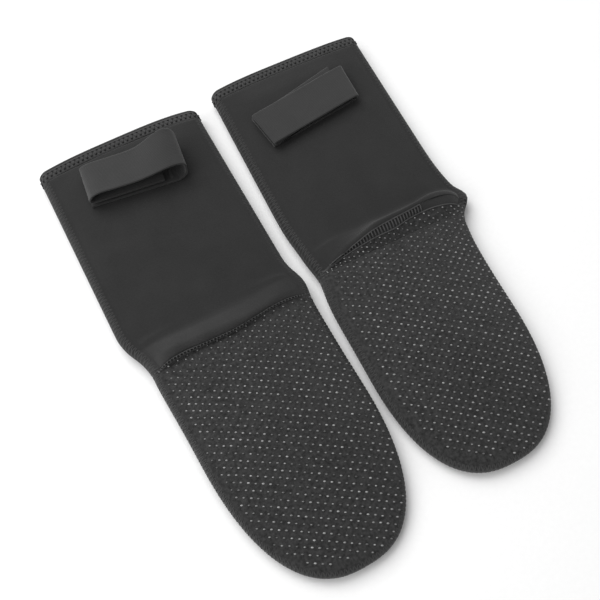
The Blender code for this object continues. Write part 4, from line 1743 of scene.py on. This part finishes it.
@dataclass
class Strap:
    """The elastic band sewn to the calf, folded over at its right end, with hook and loop tape."""

    form: StrapForm
    finishes: Finishes
    place: Place
    patch_start: float = 9.0
    patch_width: float = 29.0
    hook_pitch: float = 1.9

    @property
    def leg(self) -> str:
        """The leg's body."""
        return f"{self.form.name}_leg"

    @property
    def flap(self) -> str:
        """The body of the part that opens."""
        return f"{self.form.name}_flap"

    def title(self, piece: str) -> str:
        """A piece's full name."""
        return f"{self.form.name}_{piece}"

    @property
    def hinge_height(self) -> float:
        """Height of the bend's middle above the band's underside."""
        return ELASTIC / 2 + self.form.bend_radius

    @property
    def bend_at(self) -> float:
        """Reach where the band starts to bend."""
        return self.form.length - self.form.bend_radius - ELASTIC / 2

    def path(self) -> Array:
        """(reach, slip, height, twist) all along: flat, round the bend, over the top and tucked under."""
        swing = np.radians(np.linspace(-90.0, 0.0, 9))
        radius = self.form.bend_radius
        slip = self.form.band_slip
        flat = [(r, slip, ELASTIC / 2, 0.0) for r in (2.0, 20.0, 45.0)]
        bend = [
            (
                self.bend_at + radius * math.cos(a),
                slip * (1 - math.sin(a)) / 2,
                self.hinge_height + radius * math.sin(a),
                0.0,
            )
            for a in swing
        ]
        over = [(reach, side, height, twist) for reach, height, side, twist in self.form.fold]
        over += [(reach, side, height, 0.0) for reach, height, side in self.form.tail]
        return spline((*flat, *bend, *over), 420)

    def ribbon(self, path: Array) -> Surface:
        """Webbing along a path: a flat band whose two long edges are rounded and a little thicker.

        A section is (across, offset), with offset = +-thickness / 2 * (1 + 0.14 * bell at each edge), closed
        by half circles at both edges. It stands across the path.

        Args:
            path: Rows of path().

        Returns:
            The closed band in the row frame.
        """
        path, twist = path[:, :3], path[:, 3]
        along = unit(np.gradient(path, axis=0) * np.array([1.0, 0.0, 1.0]))
        out = np.stack([-along[:, 2], 0 * along[:, 0], along[:, 0]], axis=-1)
        half, round_edge = BAND_WIDTH / 2, ELASTIC / 2
        edge = np.radians(np.linspace(-90.0, 90.0, 7))
        flat = np.linspace(-half + round_edge, half - round_edge, 36)
        thick = round_edge * (1 + 0.14 * bell(half - 1.6, 1.0, np.abs(flat)))
        right = (half - round_edge + round_edge * np.cos(edge), round_edge * np.sin(edge))
        across = np.concatenate([flat, right[0][1:-1], flat[::-1], -right[0][::-1][1:-1]])
        offset = np.concatenate([-thick, right[1][1:-1], thick[::-1], right[1][::-1][1:-1]])
        grid = path[:, None] + out[:, None] * offset[None, :, None]
        grid[..., 1] += across
        grid[..., 2] += twist[:, None] * across / half
        turned = ease(self.form.length - 30.0, self.form.length, path[:, 0])
        grid[..., 0] += self.form.skew * turned[:, None] * across / half
        shape = Surface.from_grid(grid, close_columns=True)
        cloth_across = np.broadcast_to(across, grid.shape[:2])
        run = np.concatenate([[0.0], np.cumsum(np.linalg.norm(np.diff(path, axis=0), axis=1))])
        shape.cloth = np.stack([cloth_across, run[:, None] + 0 * cloth_across], axis=-1).reshape(-1, 2)
        columns = grid.shape[1]
        ends = self.end_caps(columns)
        last = ends[:, ::-1] + (len(path) - 1) * columns
        shape.faces = np.vstack([shape.faces, ends, last])
        shape.face_outwards(None)
        return self.raised(shape)

    @staticmethod
    def end_caps(columns: int) -> Array:
        """Faces that close a section whose points run round it: each joins a pair to the pair opposite."""
        j = np.arange(columns // 2 - 1)
        return np.stack([j + 1, j, columns - 1 - j, columns - 2 - j], axis=-1)

    def raised(self, shape: Surface) -> Surface:
        """A surface set on the calf and moved to the row frame."""
        shape.points = self.place.out(shape.points + np.array([0.0, 0.0, BAND_REST]))
        return shape

    def webbing(self) -> None:
        """The band and its fold as one piece, whose hinge line is worked out but not used, and the tucked end
        as another, which rides on the flap.
        """
        path = self.path()
        beyond = np.arange(len(path)) > len(path) // 3
        turned = np.nonzero(beyond & (path[:, 2] >= self.form.split) & (path[:, 0] < 12.0))[0].max()
        cloth = self.finishes.webbing
        band = self.ribbon(path[: turned + 1])
        made = make_piece(self.title("strap_webbing"), band, cloth)
        drop = self.form.drop
        step = (self.form.blend_to - self.form.blend_from) / (1 + drop**2)
        foot = (self.form.length, 0.0, BAND_REST + self.form.blend_from)
        start = self.place.metres(foot)
        end = self.place.metres((foot[0] - drop * step, 0.0, foot[2] + step))
        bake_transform(made)
        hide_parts(self.title("strap_band"), self.title("strap_flap"))
        tucked = self.ribbon(path[turned:])
        made = make_piece(self.title("strap_tucked_end"), tucked, cloth)
        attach(made, self.flap)

    @staticmethod
    def turned(
        u: Array, v: Array, middle: float, turn: float = 0.0, shift: float = 0.0
    ) -> tuple[Array, Array]:
        """Places on a patch: (middle + u cos - v sin, shift + u sin + v cos).

        Args:
            u: Along the patch from its middle.
            v: Across it.
            middle: Reach of the patch's middle.
            turn: The patch's turn, in degrees.
            shift: How far it is set towards the cuff.

        Returns:
            Reach and slip of each place.
        """
        c, s = math.cos(math.radians(turn)), math.sin(math.radians(turn))
        return middle + u * c - v * s, shift + u * s + v * c

    def plate(self, ends: tuple[float, float], heights: tuple[float, float], *lie: float) -> Surface:
        """A thin tape with a faint quilting.

        Args:
            ends: Reach of its two ends.
            heights: Its underside's and its top's.
            *lie: Its turn and shift, where it has them.

        Returns:
            The closed tape in the strap's frame.
        """
        (start, end), (low, high) = ends, heights
        u = np.linspace(-0.5, 0.5, 90)[:, None] * (end - start)
        v = np.linspace(-0.5, 0.5, 40)[None, :] * self.patch_width
        x, y = self.turned(u, v, (start + end) / 2, *lie)
        z = high + 0.06 * np.sin(u * 4.0) * np.sin(v * 4.0)
        grid = np.stack([x, y, z], axis=-1)
        return slab(grid, UPWARDS, high - low)

    def hook_tape(self) -> None:
        """The hook tape on the band: a ground tape with rows of small curled hooks."""
        low = ELASTIC + 0.15
        high = low + 0.85
        start, end = self.patch_start, self.bend_at - self.form.patch_gap
        middle, lie = (start + end) / 2, (self.form.patch_turn, self.form.patch_shift)
        u = np.arange(HOOKS_FROM, end - 2.0, self.hook_pitch) - middle
        v = np.arange(-0.5 * self.patch_width + 1.2, 0.5 * self.patch_width - 1.0, self.hook_pitch)
        u, v = (g.ravel() for g in np.meshgrid(u, v, indexing="ij"))
        base = np.stack([*self.turned(u, v, middle, *lie), 0 * u + high], axis=-1)
        lean = np.where((np.arange(len(u)) % 2) == 0, 1.0, -1.0)
        hooks = base[:, None] + HOOK_CURL * np.stack([lean, lean, np.ones(len(u))], axis=-1)[:, None]
        across = np.broadcast_to(np.array([0.0, 1.0, 0.0]), hooks.shape)
        parts = [self.plate((start, end), (low, high), *lie), strands(hooks, across, 0.13)]
        shape = self.raised(Surface.join(parts))
        made = make_piece(self.title("hook_tape_sewn"), shape, self.finishes.hooks)
        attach(made, self.leg)
        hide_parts(self.title("hook_tape"))

    def loop_tape(self) -> None:
        """The loop tape under the tucked end."""
        top = self.form.tail[-1][1] - ELASTIC / 2 - 0.1
        made = make_piece(
            self.title("loop_tape_sewn"),
            self.raised(self.plate((6.0, 25.0), (top - 1.0, top))),
            self.finishes.loops,
        )
        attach(made, self.flap)
        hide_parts(self.title("loop_tape"))

    def tacks(self) -> None:
        """Zigzag bar tacks that sew the band down, one near its free end and one before the bend."""
        for name, reach in (("free_end_tack", 5.0), ("fold_end_tack", self.bend_at - 3.0)):
            step = np.arange(TACK_TURNS * 4 + 1) / 4
            zig = np.abs((step % 2) - 1) - 0.5
            across = (step / TACK_TURNS - 0.5) * TACK_WIDTH
            path = np.stack([reach + 2.2 * zig, across, ELASTIC + 0.12 + 0 * step], axis=-1)[None]
            shape = self.raised(strands(path, np.broadcast_to(UPWARDS, path.shape), 0.26))
            made = make_piece(self.title(f"{name}_thread"), shape, self.finishes.seam)
            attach(made, self.leg)
            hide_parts(self.title(name))

    def build(self) -> None:
        """Build the strap's pieces."""
        self.webbing()
        self.hook_tape()
        self.loop_tape()
        self.tacks()


# ---------------------------------------------------------------- room, light and camera


@dataclass(frozen=True)
class Studio:
    """A white paper floor, a broad soft light from the cuffs' side and the camera."""

    aim: tuple[float, float, float] = (-12.5, -8.0, 10.0)
    distance: float = 666.3
    azimuth: float = -28.0
    elevation: float = 64.5
    lens: float = 54.0
    floor_size: float = 6000.0

    def toward(self, azimuth: float, elevation: float, distance: float) -> tuple:
        """A point at a distance from the aim.

        Args:
            azimuth: Degrees about the vertical; 0 is on the toes' side.
            elevation: Degrees above the floor.
            distance: Millimetres from the aim.

        Returns:
            The point in metres.
        """
        a, e = math.radians(azimuth), math.radians(elevation)
        way = (math.sin(a) * math.cos(e), -math.cos(a) * math.cos(e), math.sin(e))
        return tuple((c + w * distance) * MM for c, w in zip(self.aim, way))

    def aimed(self, item: bpy.types.Object, spot: tuple) -> None:
        """Put an object at a spot and point it at the aim."""
        item.location = spot
        way = Vector([c * MM for c in self.aim]) - Vector(spot)
        item.rotation_euler = way.to_track_quat("-Z", "Y").to_euler()
        bpy.context.scene.collection.objects.link(item)

    def build(self) -> None:
        """Make the floor, the world, the lights and the camera."""
        half = self.floor_size / 2
        edge = np.linspace(-half, half, 9)
        x, y = np.meshgrid(edge, edge, indexing="ij")
        sheet = Surface.from_grid(np.stack([x, y, 0 * x - 0.4], axis=-1))
        sheet.face_outwards(UPWARDS)
        mesh = bpy.data.meshes.new("paper_floor")
        mesh.from_pydata(sheet.points * MM, [], sheet.faces)
        mesh.materials.append(FloorFinish().build())
        floor = bpy.data.objects.new("paper_floor", mesh)
        bpy.context.scene.collection.objects.link(floor)

        world = bpy.data.worlds.new("studio")
        bpy.context.scene.world = world
        world.use_nodes = True
        world.node_tree.nodes["Background"].inputs["Color"].default_value = (1, 1, 1, 1)
        world.node_tree.nodes["Background"].inputs["Strength"].default_value = 0.42
        for name, azimuth, elevation, distance, size, power in (
            ("broad_light", 200.0, 55.0, 1800.0, 1500.0, 27.0),
            ("side_light", -80.0, 40.0, 1800.0, 1200.0, 10.0),
        ):
            light = bpy.data.lights.new(name, "AREA")
            light.shape = "SQUARE"
            light.size = size * MM
            light.energy = power
            self.aimed(bpy.data.objects.new(name, light), self.toward(azimuth, elevation, distance))

        camera = bpy.data.cameras.new("camera")
        camera.lens = self.lens
        camera.sensor_width = 36.0
        camera.clip_start = 0.01
        item = bpy.data.objects.new("camera", camera)
        self.aimed(item, self.toward(self.azimuth, self.elevation, self.distance))
        bpy.context.scene.camera = item
        bpy.context.scene.view_settings.view_transform = "Standard"


def joint(name: str) -> dict:
    """A joint of the frame."""
    return next(j for j in frame["joints"] if j["name"] == name)


def sock_place(form: SockForm) -> Place:
    """The sock's frame, from its ankle joint: its axis gives the turn and the middle line the origin."""
    found = joint(f"{form.name}_ankle_bend")
    turn = math.atan2(found["axis"][1], found["axis"][0])
    pivot = np.array(found["pos_m"]) / MM
    back = Place((0.0, 0.0, 0.0), turn).out(np.array([float(form.middle(ANKLE)), -ANKLE, 0.0]))
    return Place(tuple(pivot - back), turn)


def strap_place(form: StrapForm) -> Place:
    """The strap's frame, from its hinge: the axis runs across the band, at the bend's far side."""
    found = joint(f"{form.name}_strap_open")
    turn = math.atan2(-found["axis"][0], found["axis"][1])
    hinge = np.array(found["pos_m"]) / MM * np.array([1.0, 1.0, 0.0])
    back = Place((0.0, 0.0, 0.0), turn).out(np.array([form.length, 0.0, 0.0]))
    return Place(tuple(hinge - back), turn)


def main() -> None:
    """Build the pair, then the room."""
    logging.basicConfig(level=logging.INFO, format="%(message)s")
    finishes = Finishes.build()
    for form, strap in ((LEFT_FORM, LEFT_STRAP), (RIGHT_FORM, RIGHT_STRAP)):
        Sock(form, finishes, sock_place(form)).build()
        Strap(strap, finishes, strap_place(strap)).build()
    Studio().build()


if __name__ == "__main__":
    main()
